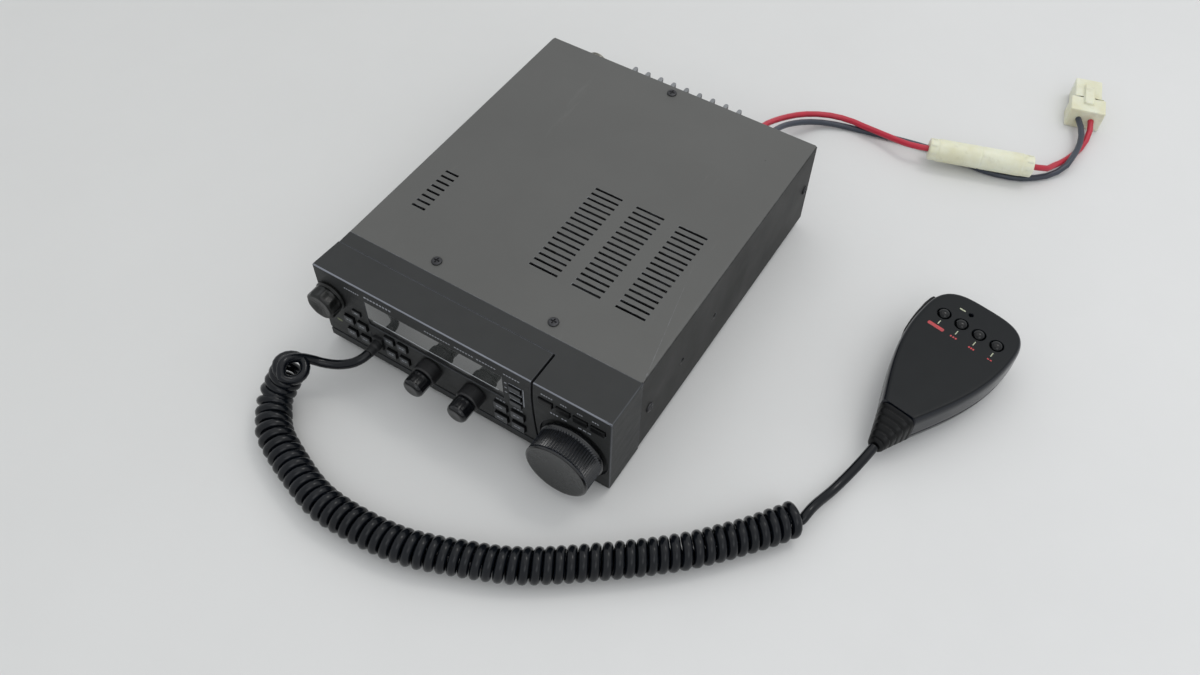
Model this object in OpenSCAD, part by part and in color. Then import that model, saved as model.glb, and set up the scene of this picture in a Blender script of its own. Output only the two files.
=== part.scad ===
// Mobile transceiver: a steel-covered radio with a detachable control head, a hand
// microphone on a curly cord, and a fused power lead.
// Millimetres, +Z up. The origin is on the surface that the radio stands on, under
// the centre of its case. The front panel faces -Y and +X is on the user's right.

/* [Body] */
// Width of the case
body_w = 180; // [178:1:184]
// Height of the case
body_h = 60; // [60:1:64]
// Depth of the case, from the front panel to the rear edge of the cover
body_d = 222; // [220:1:226]
// Depth of the moulded front bezel
bezel_d = 28; // [27:1:30]
// Gap between the bezel and the surface, made by the rubber feet
foot_h = 3; // [2:0.5:4]
// Thickness of the steel covers
cover_t = 1.2; // [0.8:0.1:1.2]
// Width of a ventilation slot
slot_w = 1.4; // [1:0.1:2]
// Pitch of the ventilation slots
slot_pitch = 4.26; // [4:0.02:4.5]

/* [Rear] */
// Number of heat sink fins
fin_n = 9; // [5:1:9]
// Pitch of the fins
fin_pitch = 8.97; // [8:0.01:9]
// Thickness of a fin
fin_t = 2.6; // [2:0.1:3]
// Radius of the antenna connector's threaded barrel
antenna_r = 7.94; // [7.5:0.01:8]
// Radius of the speaker jack's bore
jack_bore_r = 1.8; // [1.75:0.01:2]

/* [Control head] */
// Depth of the control head
head_d = 19.5; // [19:0.5:21]
// Clearance between the control head and the bezel
head_gap = 0.15; // [0.1:0.05:0.8]
// Thickness of the front panels
panel_t = 2.5; // [2:0.1:3]
// Clearance around each key
key_gap = 0.3; // [0.25:0.05:0.4]
// How far the keys stand out of the panel
key_proud = 1.5; // [1:0.1:2]

/* [Knobs] */
// Radius of the main dial
dial_r = 18; // [16:0.5:18.5]
// Length of the main dial in front of the panel
dial_l = 16.5; // [14:0.5:20]
// Radius of the channel knob
channel_r = 9; // [8:0.5:10]
// Length of the channel knob
channel_l = 10.5; // [9:0.5:12]
// Radius of the outer ring of each concentric pair
ring_r = 6.8; // [6.5:0.1:7.5]
// Length of the outer ring of each concentric pair
ring_l = 8.5; // [8:0.5:10]
// Radius of the inner knob of each concentric pair
inner_r = 5.9; // [5:0.1:6]
// Length of each concentric pair
inner_l = 18; // [16:0.5:18.5]

/* [Microphone] */
// Length of the microphone's body
mic_body_l = 90.5; // [88:0.5:92]
// Half of the width of the microphone's body
mic_half_w = 27.6; // [27:0.1:28.5]
// Length of its strain relief
relief_l = 17; // [14:0.5:18]
// Height of its front face above the surface
mic_top = 27; // [26:0.5:28]
// Radius of a microphone button
mic_button_r = 3.6; // [3:0.1:3.8]

/* [Cords] */
// Diameter of the microphone cord
cord_d = 5.2; // [4.8:0.1:5.5]
// Outer diameter of the curly cord's coil
coil_d = 18.5; // [17:0.5:18.5]
// Diameter of a power lead
lead_d = 3.8; // [3.4:0.1:3.8]
// Length of the fuse holder
holder_l = 65; // [60:1:65]
// Radius of the fuse holder
holder_r = 7.2; // [6:0.1:7.5]

/* [Hidden] */

$fn = 48;
over = 1;

// Planes of the case
x_side = body_w / 2;
y_front = -body_d / 2;
y_rear = body_d / 2;
y_bezel = y_front + bezel_d;
z_bezel = foot_h;
z_top = foot_h + body_h;
z_case = z_bezel + 2;
x_cover = x_side - cover_t;
z_cover = z_top - cover_t;
z_floor_plate = z_case + cover_t;
rail_t = 3;
deck_z = 34;
deck_t = 2;
y_sink = y_rear - 8;
sink_t = 6;
y_panel_rear = y_sink + sink_t;
wall = 2.2;

// Control head
head_x0 = -91.5;
head_slope = 1.2;
seam_x = 44.5;
seam_z = 52;
seam_gap = 1.2;
seam_bow = 4.2;
head_z0 = z_bezel + 1.5;
head_split_y = y_front + 13;
y_head_rear = y_front + head_d;
head_wall = 2;
lip_z = head_z0 + 5;
lip_groove = 1.8;
lip_groove_d = 1.2;
y_board = y_front + 8;
board_t = 1.6;
window_x = [-59, 27];
window_z = [34.5, 53.5];
window_crease_z = 40;
jack_pos = [-55, 22];
jack_body = [8.9, 11.4];
jack_mouth = [6.3, 8.8];

// Keys: half of the clearance on each side lets every key slide without touching
key_flange = 0.5;
flange_t = 1;
keypad_x = [-73, -64, -46.2, -37.5];
keypad_z = [30.2, 19];
keypad_size = [6.2, 5.4];
side_key_x = 34.8;
side_key_z = [48.8, 42.3, 36.2];
side_key_size = [7, 3.4];
scan_x = [25, 35.6];
scan_z = [26.5, 16.5];
scan_size = [8, 5.6];
mode_pos = [-66.5, 39.5];
mode_size = [5.5, 3.4];
function_x = [52.8, 62.7, 72.6, 82.5];
function_z = 52;
function_size = [8, 4];

// Knobs: centres on the front panel as [x, z]
dial_pos = [68.5, 24];
dial_recess_r = 20;
dial_recess_d = 1.5;
dial_shaft_r = 3;
dial_shaft_l = 6.7;
channel_pos = [-82, 44.5];
volume_pos = [-18.7, 27.3];
squelch_pos = [9, 26.5];
shaft_r = 2;
sleeve_r = 3.2;
shaft_hole_r = 3.6;
shaft_l = 4.7;
knob_lift = 0.5;
pot_r = 7;
y_pot = y_front + 5;

// Rear connectors as [x, z]
antenna_pos = [-70, 38.5];
antenna_l = 21;
lead_pos = [[43, 28], [48.5, 28]];
lead_y = 110;
speaker_jack_pos = [68, 20];
bracket_y = [-41, -6];
bracket_z = 31.5;
bracket_r = 2;

// Cover screws: top screws as [x, y], side screws as [y, z]
screw_head_r = 2.85;
screw_r = 1.4;
top_screws = [[-38.5, -75], [34, -75.5], [-2, 105]];
side_screws = [[-74.3, 31.5], [105, 33]];
bottom_screws = [[-70, -76], [70, -76], [-70, 105], [70, 105]];

// Microphone, laid on its back: its own Y runs from the cord to the top edge
mic_pos = [193.6, -21];
mic_turn = 10.2;
mic_l = relief_l + mic_body_l;
mic_neck_half = 10.2;
mic_corner = 0.6;
mic_wide_y = relief_l + 63;
mic_split_z = 13;
mic_bottom = 4;
mic_wall = 2.2;
mic_cord_z = 11;
relief_z = 16;
relief_corner = 4;
relief_half_h = 6;
mic_button_x = [-16.05, -5.35, 5.35, 16.05];
mic_button_y = relief_l + 69.8;
mic_hole = [-4.7, relief_l + 78.9];
talk_y = [relief_l + 48, relief_l + 80];
talk_z = [13.6, 23.4];
talk_proud = 0.6;
talk_tilt = 2.4;
talk_slot = 7.5;
stud_y = relief_l + 48;

// Routes of the cords: hand-laid centrelines, with round numbers
lead_route = [
    [-55, -120, 22], [-56, -124, 21.5], [-59.5, -128.5, 20], [-66, -133, 19],
    [-73.5, -137.5, 21], [-80, -141.5, 26], [-84.5, -146, 31]
];
coil_route = [
    [-78.3, -151.1, 30.5], [-80.7, -150.6, 26], [-82.6, -152.8, 21.4], [-84, -157.6, 15.6], [-83.6, -164, 10.8],
    [-78, -171.5, 9.5], [-66.5, -181.3, 9.5], [-34, -194, 9.5], [-12, -197, 9.5], [22, -194, 9.5],
    [51, -184, 9.5], [78, -171.5, 9.5], [108, -150, 9.5], [138, -125, 9.5], [159, -102.5, 9.5],
    [172, -86, 9.5], [178, -77, 9.5]
];
tail_route = [
    [179, -77, 14], [180, -70, 10.5], [183, -62, 7.5], [186, -52, 6], [189, -41, 7],
    [191.6, -31, 9.5], [193.6, -21, mic_cord_z]
];
red_route = [
    [43, lead_y, 28], [43, 122, 28], [42, 136, 27], [41, 150, 24.5], [42, 163, 19.5],
    [45, 176, 14.5], [50, 188, 10.5], [57, 197, 8], [67, 203.5, 6.8], [79, 206.8, 6.2],
    [91, 206.5, 6.2], [103, 205.5, 7], [113, 203.5, 8.5], [121, 201.5, 10.4], [128, 201.9, 11.2]
];
red_route_end = [
    [200.5, 226.2, 11], [204.5, 230.5, 8.8], [208, 240, 6.5], [211, 249, 3.2], [213.8, 258, 2.2],
    [216.3, 266, 2], [217.8, 275, 3], [217.2, 284, 6]
];
black_route = [
    [48.5, lead_y, 28], [48.5, 122, 28], [48.5, 136, 26.5], [48, 150, 23], [48.5, 163, 18],
    [51, 175, 13], [56, 187, 8], [65, 197, 4.5], [77, 203.5, 2.5], [90, 207, 2],
    [116, 212.5, 2], [142, 216, 2], [168, 214.5, 2], [181, 216.5, 2], [193, 221, 2],
    [203.5, 229, 2.2], [210, 236.5, 3], [214.2, 244.5, 5.2], [215.2, 254, 6.6], [215.6, 263, 6.6],
    [214.6, 272, 6.8], [212, 281, 7.3]
];
holder_pos = [165.5, 214, 11.3];
holder_turn = 18;
fuse_l = 40;
fuse_r = 3;
plug_pos = [211, 291];
plug_turn = 15;
plug_w = 22;
plug_h = 15;
plug_neck = 14;
plug_l = 34;

charcoal = "#3e4042";
case_grey = "#646462";
black = "#1b1c1e";
ivory = "#e1e1cd";

// Box between two corners, each given as a range along one axis
module slab(x, y, z) {
    translate([x[0], y[0], z[0]]) cube([x[1] - x[0], y[1] - y[0], z[1] - z[0]]);
}

// Cylinder along +Y that starts at [x, y, z]
module rod_y(x, y, z, r, l) {
    translate([x, y, z]) rotate([-90, 0, 0]) cylinder(r = r, h = l);
}

// Cylinder along +X that starts at [x, y, z]
module rod_x(x, y, z, r, l) {
    translate([x, y, z]) rotate([0, 90, 0]) cylinder(r = r, h = l);
}

// Extrusion along Y, between two planes, of an outline drawn as [x, z]
module along_y(y) {
    translate([0, y[1], 0]) rotate([90, 0, 0]) linear_extrude(y[1] - y[0]) children();
}

// The seam between the control head and the dial section, as x at a height: it bows outwards below
function seam(z) = seam_x + (z > seam_z ? 0.7 * (z - seam_z) / (z_top - seam_z)
    : seam_bow * pow((seam_z - z) / (seam_z - z_bezel), 2));
function seam_points(z, shift) =
    [for (i = [0 : 8]) let (h = z[0] + (z[1] - z[0]) * i / 8) [seam(h) + shift, h]];

// Outline of the control head, drawn inwards by an inset
module head_outline(inset) {
    z = [head_z0 + inset, z_top - inset];
    left = [[head_x0 + inset, z[1]], [head_x0 + inset, z[0]]];
    polygon(concat(left, seam_points(z, -seam_gap / 2 - inset)));
}

// Outline of the dial section, drawn inwards by an inset
module dial_outline(inset) {
    z = [z_bezel + inset, z_top - inset];
    right = [[x_side - inset, z[1]], [x_side - inset, z[0]]];
    polygon(concat(right, seam_points(z, seam_gap / 2 + inset)));
}

// Solid of revolution about an axis along -Y, from the front panel forwards
module turned(pos, y, profile) {
    translate([pos[0], y, pos[1]]) rotate([90, 0, 0]) rotate_extrude() polygon(profile);
}

function unit(v) = v / norm(v);
function tangent(p, i) =
    unit(p[min(i + 1, len(p) - 1)] - p[max(i - 1, 0)]);
function side_vector(p, i) =
    i == 0 ? unit(cross(tangent(p, 0), [0.3, 0.2, 1]))
    : let (s = side_vector(p, i - 1), t = tangent(p, i)) unit(s - (s * t) * t);

// Tube of the given diameter, swept along the points of a route
module tube(route, d, sides) {
    n = len(route);
    rings = [
        for (i = [0 : n - 1])
        let (t = tangent(route, i), s = side_vector(route, i), u = cross(t, s))
        for (k = [0 : sides - 1])
        route[i] + d / 2 * (cos(360 * k / sides) * s + sin(360 * k / sides) * u)
    ];
    walls = [
        for (i = [0 : n - 2])
        for (k = [0 : sides - 1])
        let (a = i * sides + k, b = i * sides + (k + 1) % sides)
        [a, a + sides, b + sides, b]
    ];
    first = [for (k = [0 : sides - 1]) k];
    last = [for (k = [sides - 1 : -1 : 0]) (n - 1) * sides + k];
    polyhedron(points = rings, faces = concat(walls, [first], [last]), convexity = 10);
}

// Point on the fuse holder's axis, at a distance from its centre
function in_holder(s) = holder_pos + s * [cos(holder_turn), sin(holder_turn), 0];

// Point on the plug's entry face, at a distance from its centre
function at_entry(s) = [plug_pos[0] + s * cos(plug_turn), plug_pos[1] + s * sin(plug_turn), plug_h / 2];

// ---- Radio body ----

module chassis_frame() {
    color("#8b8d8f") difference() {
        union() {
            for (side = [-1, 1])
                mirror([side < 0 ? 1 : 0, 0, 0])
                    slab([x_cover - rail_t, x_cover], [y_bezel, y_panel_rear], [z_floor_plate, z_cover]);
            slab([-x_cover, x_cover], [y_bezel, y_bezel + rail_t], [z_floor_plate, z_cover]);
            slab([-x_cover, x_cover], [y_bezel, y_sink], [deck_z, deck_z + deck_t]);
            slab([-x_cover, x_cover], [y_bezel, y_bezel + 14], [z_cover - rail_t, z_cover]);
            slab([-x_cover, x_cover], [y_bezel, y_bezel + 14], [z_floor_plate, z_floor_plate + rail_t]);
        }
        for (p = [top_screws[0], top_screws[1]])
            translate([p[0], p[1], z_cover - rail_t - over])
                cylinder(r = screw_r + 0.05, h = rail_t + 2 * over);
        for (p = [bottom_screws[0], bottom_screws[1]])
            translate([p[0], p[1], z_case]) cylinder(r = screw_r + 0.05, h = rail_t + 3);
        for (side = [-x_side, x_side - 6]) {
            for (p = side_screws) rod_x(side, p[0], p[1], screw_r + 0.05, 6);
            for (y = bracket_y) rod_x(side, y, bracket_z, bracket_r, 6);
        }
    }
}

// Rows of ventilation slots, as the holes that they cut
module vent(x0, x1, y0, n) {
    for (i = [0 : n - 1])
        slab([x0, x1], [y0 + i * slot_pitch - slot_w / 2, y0 + i * slot_pitch + slot_w / 2],
            [z_cover - over, z_top + over]);
}

module top_cover() {
    color(case_grey) difference() {
        slab([-x_side, x_side], [y_bezel, y_rear], [z_case, z_top]);
        slab([-x_cover, x_cover], [y_bezel - over, y_rear + over], [z_case - over, z_cover]);
        vent(-74.8, -66.2, -49.3, 8);
        vent(2, 19.2, -49.8, 16);
        vent(28, 45.2, -49.8, 16);
        vent(54.2, 71.5, -49.8, 16);
        for (p = top_screws) translate([p[0], p[1], z_cover - over]) cylinder(r = screw_r + 0.2, h = 4);
        for (side = [-x_side - over, x_side - 3]) {
            for (p = side_screws) rod_x(side, p[0], p[1], screw_r + 0.2, 4);
            for (y = bracket_y) rod_x(side, y, bracket_z, bracket_r + 0.3, 4);
        }
    }
}

module bottom_cover() {
    color(case_grey) difference() {
        slab([-x_cover, x_cover], [y_bezel, y_panel_rear], [z_case, z_floor_plate]);
        for (p = bottom_screws) translate([p[0], p[1], z_case - over]) cylinder(r = screw_r + 0.2, h = 4);
    }
}

// Opening for a key or button, through a front panel
module key_hole(x, z, size) {
    slab([x - size[0] / 2 - key_gap, x + size[0] / 2 + key_gap], [y_front - over, y_front + panel_t + over],
        [z - size[1] / 2 - key_gap, z + size[1] / 2 + key_gap]);
}

module front_bezel() {
    color(charcoal) difference() {
        union() {
            along_y([y_front, y_bezel]) dial_outline(0);
            slab([-x_side, x_side], [y_head_rear + head_gap, y_bezel], [z_bezel, z_top]);
        }
        along_y([y_front + panel_t, y_bezel + over]) dial_outline(wall);
        slab([-x_side + wall, x_side - wall], [y_head_rear + head_gap + wall, y_bezel + over],
            [z_bezel + wall, z_top - wall]);
        rod_y(dial_pos[0], y_front - over, dial_pos[1], dial_recess_r, over + dial_recess_d);
        rod_y(dial_pos[0], y_front - over, dial_pos[1], dial_shaft_r + 0.4, panel_t + 2 * over);
        for (x = function_x) key_hole(x, function_z, function_size);
    }
}

module heat_sink() {
    fin_z = z_case + 4;
    fin_top = z_top - 6;
    fin_y = y_rear + 9;
    grommet_w = lead_pos[1][0] - lead_pos[0][0] + 8;
    color("#9b9d9e") difference() {
        union() {
            slab([-x_cover + rail_t, x_cover - rail_t], [y_sink, y_panel_rear], [z_floor_plate, z_cover]);
            for (i = [0 : fin_n - 1]) {
                x = 0.4 + (i - (fin_n - 1) / 2) * fin_pitch;
                slab([x - fin_t / 2, x + fin_t / 2], [y_panel_rear - over, fin_y], [fin_z, fin_top]);
                translate([x, fin_y, fin_z]) cylinder(r = fin_t / 2, h = fin_top - fin_z);
            }
        }
        rod_y(antenna_pos[0], y_sink - over, antenna_pos[1], 6, sink_t + 2 * over);
        slab([lead_pos[0][0] - 4, lead_pos[0][0] - 4 + grommet_w], [y_sink - over, y_panel_rear + over],
            [lead_pos[0][1] - 5, lead_pos[0][1] + 5]);
        rod_y(speaker_jack_pos[0], y_sink - over, speaker_jack_pos[1], 4, sink_t + 2 * over);
        translate([top_screws[2][0], top_screws[2][1], z_cover - 8]) cylinder(r = screw_r + 0.05, h = 9);
        for (p = [bottom_screws[2], bottom_screws[3]])
            translate([p[0], p[1], z_case]) cylinder(r = screw_r + 0.05, h = 8);
    }
}

module antenna_connector() {
    x = antenna_pos[0];
    z = antenna_pos[1];
    color("#b7b8b6") difference() {
        union() {
            slab([x - 12.5, x + 12.5], [y_panel_rear, y_rear + 0.5], [z - 12.5, z + 12.5]);
            rod_y(x, y_rear, z, antenna_r, antenna_l);
        }
        rod_y(x, y_panel_rear - over, z, 6, antenna_l + 6);
    }
    color("#e8e4d6") difference() {
        rod_y(x, y_sink, z, 5.9, antenna_l + 3);
        rod_y(x, y_sink - over, z, 2.7, antenna_l + 6);
    }
    color("#c9a64a") difference() {
        rod_y(x, y_sink, z, 2.6, antenna_l + 5);
        rod_y(x, y_rear + antenna_l - 7, z, 2, 12);
    }
}

module power_grommet() {
    x0 = lead_pos[0][0] - 4;
    x1 = lead_pos[1][0] + 4;
    z = lead_pos[0][1];
    color(black) difference() {
        union() {
            slab([x0 + 0.1, x1 - 0.1], [y_sink, y_panel_rear + over], [z - 4.9, z + 4.9]);
            slab([x0 - 1, x1 + 1.5], [y_panel_rear, y_panel_rear + 3], [z - 6.5, z + 6.5]);
        }
        for (p = lead_pos) rod_y(p[0], lead_y, p[1], lead_d / 2 + 0.1, 20);
    }
}

module rubber_feet() {
    color(black) for (x = [-68, 68]) for (y = [-58, 84])
        translate([x, y, 0]) rotate_extrude()
            polygon([[0, 0], [6.5, 0], [7.5, 1], [8, z_case], [0, z_case]]);
}

// Cross-head machine screw with its head on the XY plane and its shank below
module machine_screw(l) {
    difference() {
        union() {
            cylinder(r = screw_head_r, h = 0.7);
            translate([0, 0, 0.7]) cylinder(r1 = screw_head_r, r2 = screw_head_r - 0.9, h = 0.5);
            translate([0, 0, -l]) cylinder(r = screw_r, h = l);
        }
        slab([-1.7, 1.7], [-0.35, 0.35], [0.3, 2]);
        slab([-0.35, 0.35], [-1.7, 1.7], [0.3, 2]);
    }
}

module cover_screws() {
    color(black) {
        for (p = top_screws) translate([p[0], p[1], z_top]) machine_screw(4);
        for (p = bottom_screws) translate([p[0], p[1], z_case]) rotate([180, 0, 0]) machine_screw(4);
        for (p = side_screws) {
            translate([x_side, p[0], p[1]]) rotate([0, 90, 0]) machine_screw(4);
            translate([-x_side, p[0], p[1]]) rotate([0, -90, 0]) machine_screw(4);
        }
    }
}

module main_board() {
    z = 20;
    color("#2f6b3c") {
        slab([rail_t - x_cover, x_cover - rail_t], [-72, 86], [z, z + board_t]);
        slab([-70, -20], [-60, -10], [z + board_t, z + 10]);
        slab([0, 30], [-55, -20], [z + board_t, z + 8]);
        slab([10, 70], [30, 80], [z + board_t, z + 9]);
        for (x = [-60, -40, -20]) for (y = [20, 45, 70])
            translate([x, y, z + board_t]) cylinder(r = 5, h = 9);
    }
}

module speaker() {
    z = z_cover - 15;
    color("#3a3a3a") translate([36.7, -18, z]) rotate_extrude()
        polygon([
            [0, 0], [14, 0], [14, 7], [20, 8], [31, 13], [33, 13], [33, 15], [28, 15], [12, 11], [0, 11]
        ]);
}

module tuning_encoder() {
    color("#77797b") {
        rod_y(dial_pos[0], y_front + 7, dial_pos[1], 11, 9);
        slab([dial_pos[0] - 13, dial_pos[0] + 13], [y_front + 16, y_front + 17.6],
            [dial_pos[1] - 13, dial_pos[1] + 13]);
    }
}

module speaker_jack() {
    x = speaker_jack_pos[0];
    z = speaker_jack_pos[1];
    color(black) difference() {
        union() {
            rod_y(x, y_sink, z, 3.9, sink_t + 2.5);
            slab([x - 5, x + 5], [y_sink - 13, y_sink], [z - 4.5, z + 4.5]);
            rod_y(x, y_panel_rear, z, 5, 1.5);
        }
        rod_y(x, y_panel_rear + 2.5 - 14, z, jack_bore_r, 14 + over);
    }
}

module main_dial() {
    back = 0.5;
    rim = 1.6;
    color(black) difference() {
        turned(dial_pos, y_front, [
            [0, -dial_shaft_l], [dial_shaft_r, -dial_shaft_l], [dial_shaft_r, back], [dial_r + 0.8, back],
            [dial_r + 0.8, 3], [dial_r, 4], [dial_r, dial_l - rim], [dial_r - rim, dial_l], [0, dial_l]
        ]);
        translate([dial_pos[0], y_front - dial_l - 88.6, dial_pos[1]]) sphere(r = 90, $fn = 96);
    }
}

module function_button(i) {
    color(black) key(function_x[i], function_z, function_size, 1);
}

// ---- Control head ----

// Key cap with a flange behind the panel that stops it falling out
module key(x, z, size, proud) {
    y_flange = y_front + panel_t + 0.1;
    slab([x - size[0] / 2, x + size[0] / 2], [y_front - proud, y_flange + flange_t],
        [z - size[1] / 2, z + size[1] / 2]);
    slab([x - size[0] / 2 - key_flange, x + size[0] / 2 + key_flange], [y_flange, y_flange + flange_t],
        [z - size[1] / 2 - key_flange, z + size[1] / 2 + key_flange]);
}

// Block of a given [width, height] around the microphone jack, grown by a margin
module around_jack(size, y, margin) {
    slab([jack_pos[0] - size[0] / 2 - margin, jack_pos[0] + size[0] / 2 + margin], y,
        [jack_pos[1] - size[1] / 2 - margin, jack_pos[1] + size[1] / 2 + margin]);
}

// What the slope of the head's left side takes away, so that its back edge meets the case
module left_slope() {
    translate([0, 0, head_z0 - over]) linear_extrude(z_top - head_z0 + 2 * over)
        polygon([
            [head_x0 - over, y_front], [head_x0, y_front],
            [head_x0 + head_slope, y_head_rear + over], [head_x0 - over, y_head_rear + over]
        ]);
}

module head_front() {
    color(charcoal) difference() {
        along_y([y_front, head_split_y]) head_outline(0);
        along_y([y_front + panel_t, head_split_y + over]) head_outline(head_wall);
        slab([head_x0 - over, seam_x + seam_bow], [y_front - over, y_front + lip_groove_d],
            [lip_z, lip_z + lip_groove]);
        slab([window_x[0] - 0.1, window_x[1] + 0.1], [y_front - over, y_front + panel_t + over],
            [window_z[0] - 0.1, window_z[1] + 0.1]);
        for (x = keypad_x) for (z = keypad_z) key_hole(x, z, keypad_size);
        for (x = scan_x) for (z = scan_z) key_hole(x, z, scan_size);
        for (z = side_key_z) key_hole(side_key_x, z, side_key_size);
        key_hole(mode_pos[0], mode_pos[1], mode_size);
        for (p = [channel_pos, volume_pos, squelch_pos])
            rod_y(p[0], y_front - over, p[1], shaft_hole_r, panel_t + 2 * over);
        around_jack(jack_body, [y_front - over, y_front + panel_t + over], 0.1);
        left_slope();
    }
}

module head_rear() {
    color(charcoal) difference() {
        along_y([head_split_y, y_head_rear]) head_outline(0);
        along_y([head_split_y - over, y_head_rear - head_wall]) head_outline(head_wall);
        left_slope();
    }
}

module display_window() {
    color("#5b605f", 0.5)
        translate([window_x[0], 0, 0]) rotate([90, 0, 90]) linear_extrude(window_x[1] - window_x[0])
            polygon([
                [y_front + panel_t, window_z[0]], [y_front + panel_t, window_z[1]],
                [y_front + 0.2, window_z[1]], [y_front + 0.2, window_crease_z], [y_front + 1, window_z[0]]
            ]);
}

module head_board() {
    color("#2f6b3c") slab([-86, 42], [y_board, y_board + board_t], [10, 60]);
    color("#6f7a70") slab([window_x[0] + 2, window_x[1] - 2], [y_front + panel_t + 0.2, y_board], [37, 53]);
    color("#77797b") for (p = [channel_pos, volume_pos, squelch_pos])
        rod_y(p[0], y_pot, p[1], pot_r, y_board - y_pot);
    color(black) difference() {
        around_jack(jack_body, [y_front + 0.3, y_board], 0);
        around_jack(jack_mouth, [y_front - over, y_board - 1], 0);
    }
}

module channel_knob() {
    color(black) turned(channel_pos, y_front, [
        [0, -shaft_l], [sleeve_r, -shaft_l], [sleeve_r, knob_lift], [channel_r + 0.4, knob_lift],
        [channel_r + 0.4, 2.5], [channel_r, 3.5], [channel_r, channel_l - 1.5],
        [channel_r - 1.5, channel_l], [0, channel_l]
    ]);
}

// Inner knob of a concentric pair, on a shaft inside the outer ring
module inner_knob(pos) {
    color(black) turned(pos, y_front, [
        [0, -shaft_l], [shaft_r, -shaft_l], [shaft_r, ring_l + 0.3], [inner_r, ring_l + 0.3],
        [inner_r, inner_l - 1.2], [inner_r - 1.2, inner_l], [0, inner_l]
    ]);
}

// Outer ring of a concentric pair, on a sleeve around the shaft
module outer_ring(pos) {
    color(black) turned(pos, y_front, [
        [shaft_r + 0.1, -shaft_l], [sleeve_r, -shaft_l], [sleeve_r, knob_lift], [ring_r, knob_lift],
        [ring_r, ring_l - 1], [ring_r - 1, ring_l], [shaft_r + 0.1, ring_l]
    ]);
}

module keypad_key(i) {
    color("#2a2b2d") key(keypad_x[i % 4], keypad_z[floor(i / 4)], keypad_size, key_proud);
}

module scan_key(i) {
    color("#2a2b2d") key(scan_x[i % 2], scan_z[floor(i / 2)], scan_size, key_proud);
}

module side_key(i) {
    color("#2a2b2d") key(side_key_x, side_key_z[i], side_key_size, 1);
}

module mode_key() {
    color("#2a2b2d") key(mode_pos[0], mode_pos[1], mode_size, 1);
}

// ---- Microphone ----

module at_mic() {
    translate([mic_pos[0], mic_pos[1], 0]) rotate([0, 0, -mic_turn]) children();
}

// Half of the microphone's width at a station t, from 0 at the relief to 1 at the widest place
function mic_half(t, inset) = mic_neck_half + (mic_half_w - mic_neck_half) * sin(90 * t) - inset;

// Outline of the microphone's body, drawn inwards by an inset: flared sides, then a rounded top
function mic_outline(inset) =
    let (
        steps = 10,
        y0 = relief_l + inset,
        height = mic_l - mic_wide_y - inset,
        side = [
            for (i = [0 : steps - 1]) [mic_half(i / steps, inset), y0 + (mic_wide_y - y0) * i / steps]
        ],
        top = [
            for (a = [0 : 10 : 80])
            [(mic_half_w - inset) * pow(cos(a), mic_corner), mic_wide_y + height * pow(sin(a), mic_corner)]
        ],
        right = concat(side, top, [[0, mic_l - inset]])
    )
    concat(right, [for (i = [len(right) - 2 : -1 : 0]) [-right[i][0], right[i][1]]]);

// One layer of the microphone's body, between two heights
module mic_layer(inset, z0, z1) {
    translate([0, 0, z0]) linear_extrude(z1 - z0) polygon(mic_outline(inset));
}

module mic_front_shell() {
    color("#2a2d2f") at_mic() difference() {
        union() {
            mic_layer(0, mic_split_z, mic_top - 2.8);
            mic_layer(0.8, mic_split_z, mic_top - 0.9);
            mic_layer(2.2, mic_split_z, mic_top);
        }
        mic_layer(mic_wall, mic_split_z - over, mic_top - 2.5);
        for (x = mic_button_x)
            translate([x, mic_button_y, 0]) cylinder(r = mic_button_r + 0.3, h = mic_top + over);
        translate([mic_hole[0], mic_hole[1], mic_top - 4]) cylinder(r = 1.3, h = 6);
        slab([-mic_half_w - 3, -mic_half_w + talk_slot], [talk_y[0] - 0.4, talk_y[1] + 0.4],
            [talk_z[0] - 0.4, talk_z[1] + 0.4]);
    }
}

module mic_rear_shell() {
    color("#26292b") at_mic() {
        difference() {
            union() {
                mic_layer(0, mic_bottom + 3, mic_split_z - 0.1);
                mic_layer(2, mic_bottom + 1, mic_split_z - 0.1);
                mic_layer(4.5, mic_bottom, mic_split_z - 0.1);
            }
            mic_layer(mic_wall, mic_bottom + 2.5, mic_split_z + over);
        }
        translate([0, stud_y, 0]) rotate_extrude()
            polygon([
                [0, 0], [6.5, 0], [7, 0.5], [7, 1.5], [4.5, 2],
                [4.5, mic_bottom + over], [0, mic_bottom + over]
            ]);
    }
}

module mic_board() {
    color("#2f6b3c") at_mic() {
        mic_layer(6, mic_split_z + 1.5, mic_split_z + 3);
        translate([mic_hole[0], mic_hole[1], mic_split_z + 3]) cylinder(r = 4.5, h = 5);
    }
}

// Tapered relief: flat and wide at the shell, round at the cord
module mic_strain_relief() {
    color(black) at_mic() hull() {
        for (side = [-1, 1])
            for (z = [relief_z - relief_half_h, relief_z + relief_half_h])
                translate([side * (mic_neck_half - 0.2 - relief_corner), relief_l - 0.5, z])
                    rotate([-90, 0, 0]) cylinder(r = relief_corner, h = 0.5, $fn = 16);
        rod_y(0, 0, mic_cord_z, 4.2, 1, $fn = 32);
    }
}

// Bar in the shell's left side. It follows the side, and its far end stands out further
module talk_bar() {
    color(black) at_mic() intersection() {
        difference() {
            translate([-mic_half_w, talk_y[0], 0]) rotate([0, 0, talk_tilt])
                translate([mic_half_w, -talk_y[0], 0]) mic_layer(-talk_proud, talk_z[0], talk_z[1]);
            mic_layer(mic_wall, talk_z[0] - over, talk_z[1] + over);
        }
        slab([-mic_half_w - talk_slot, 0], talk_y, talk_z);
    }
}

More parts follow.
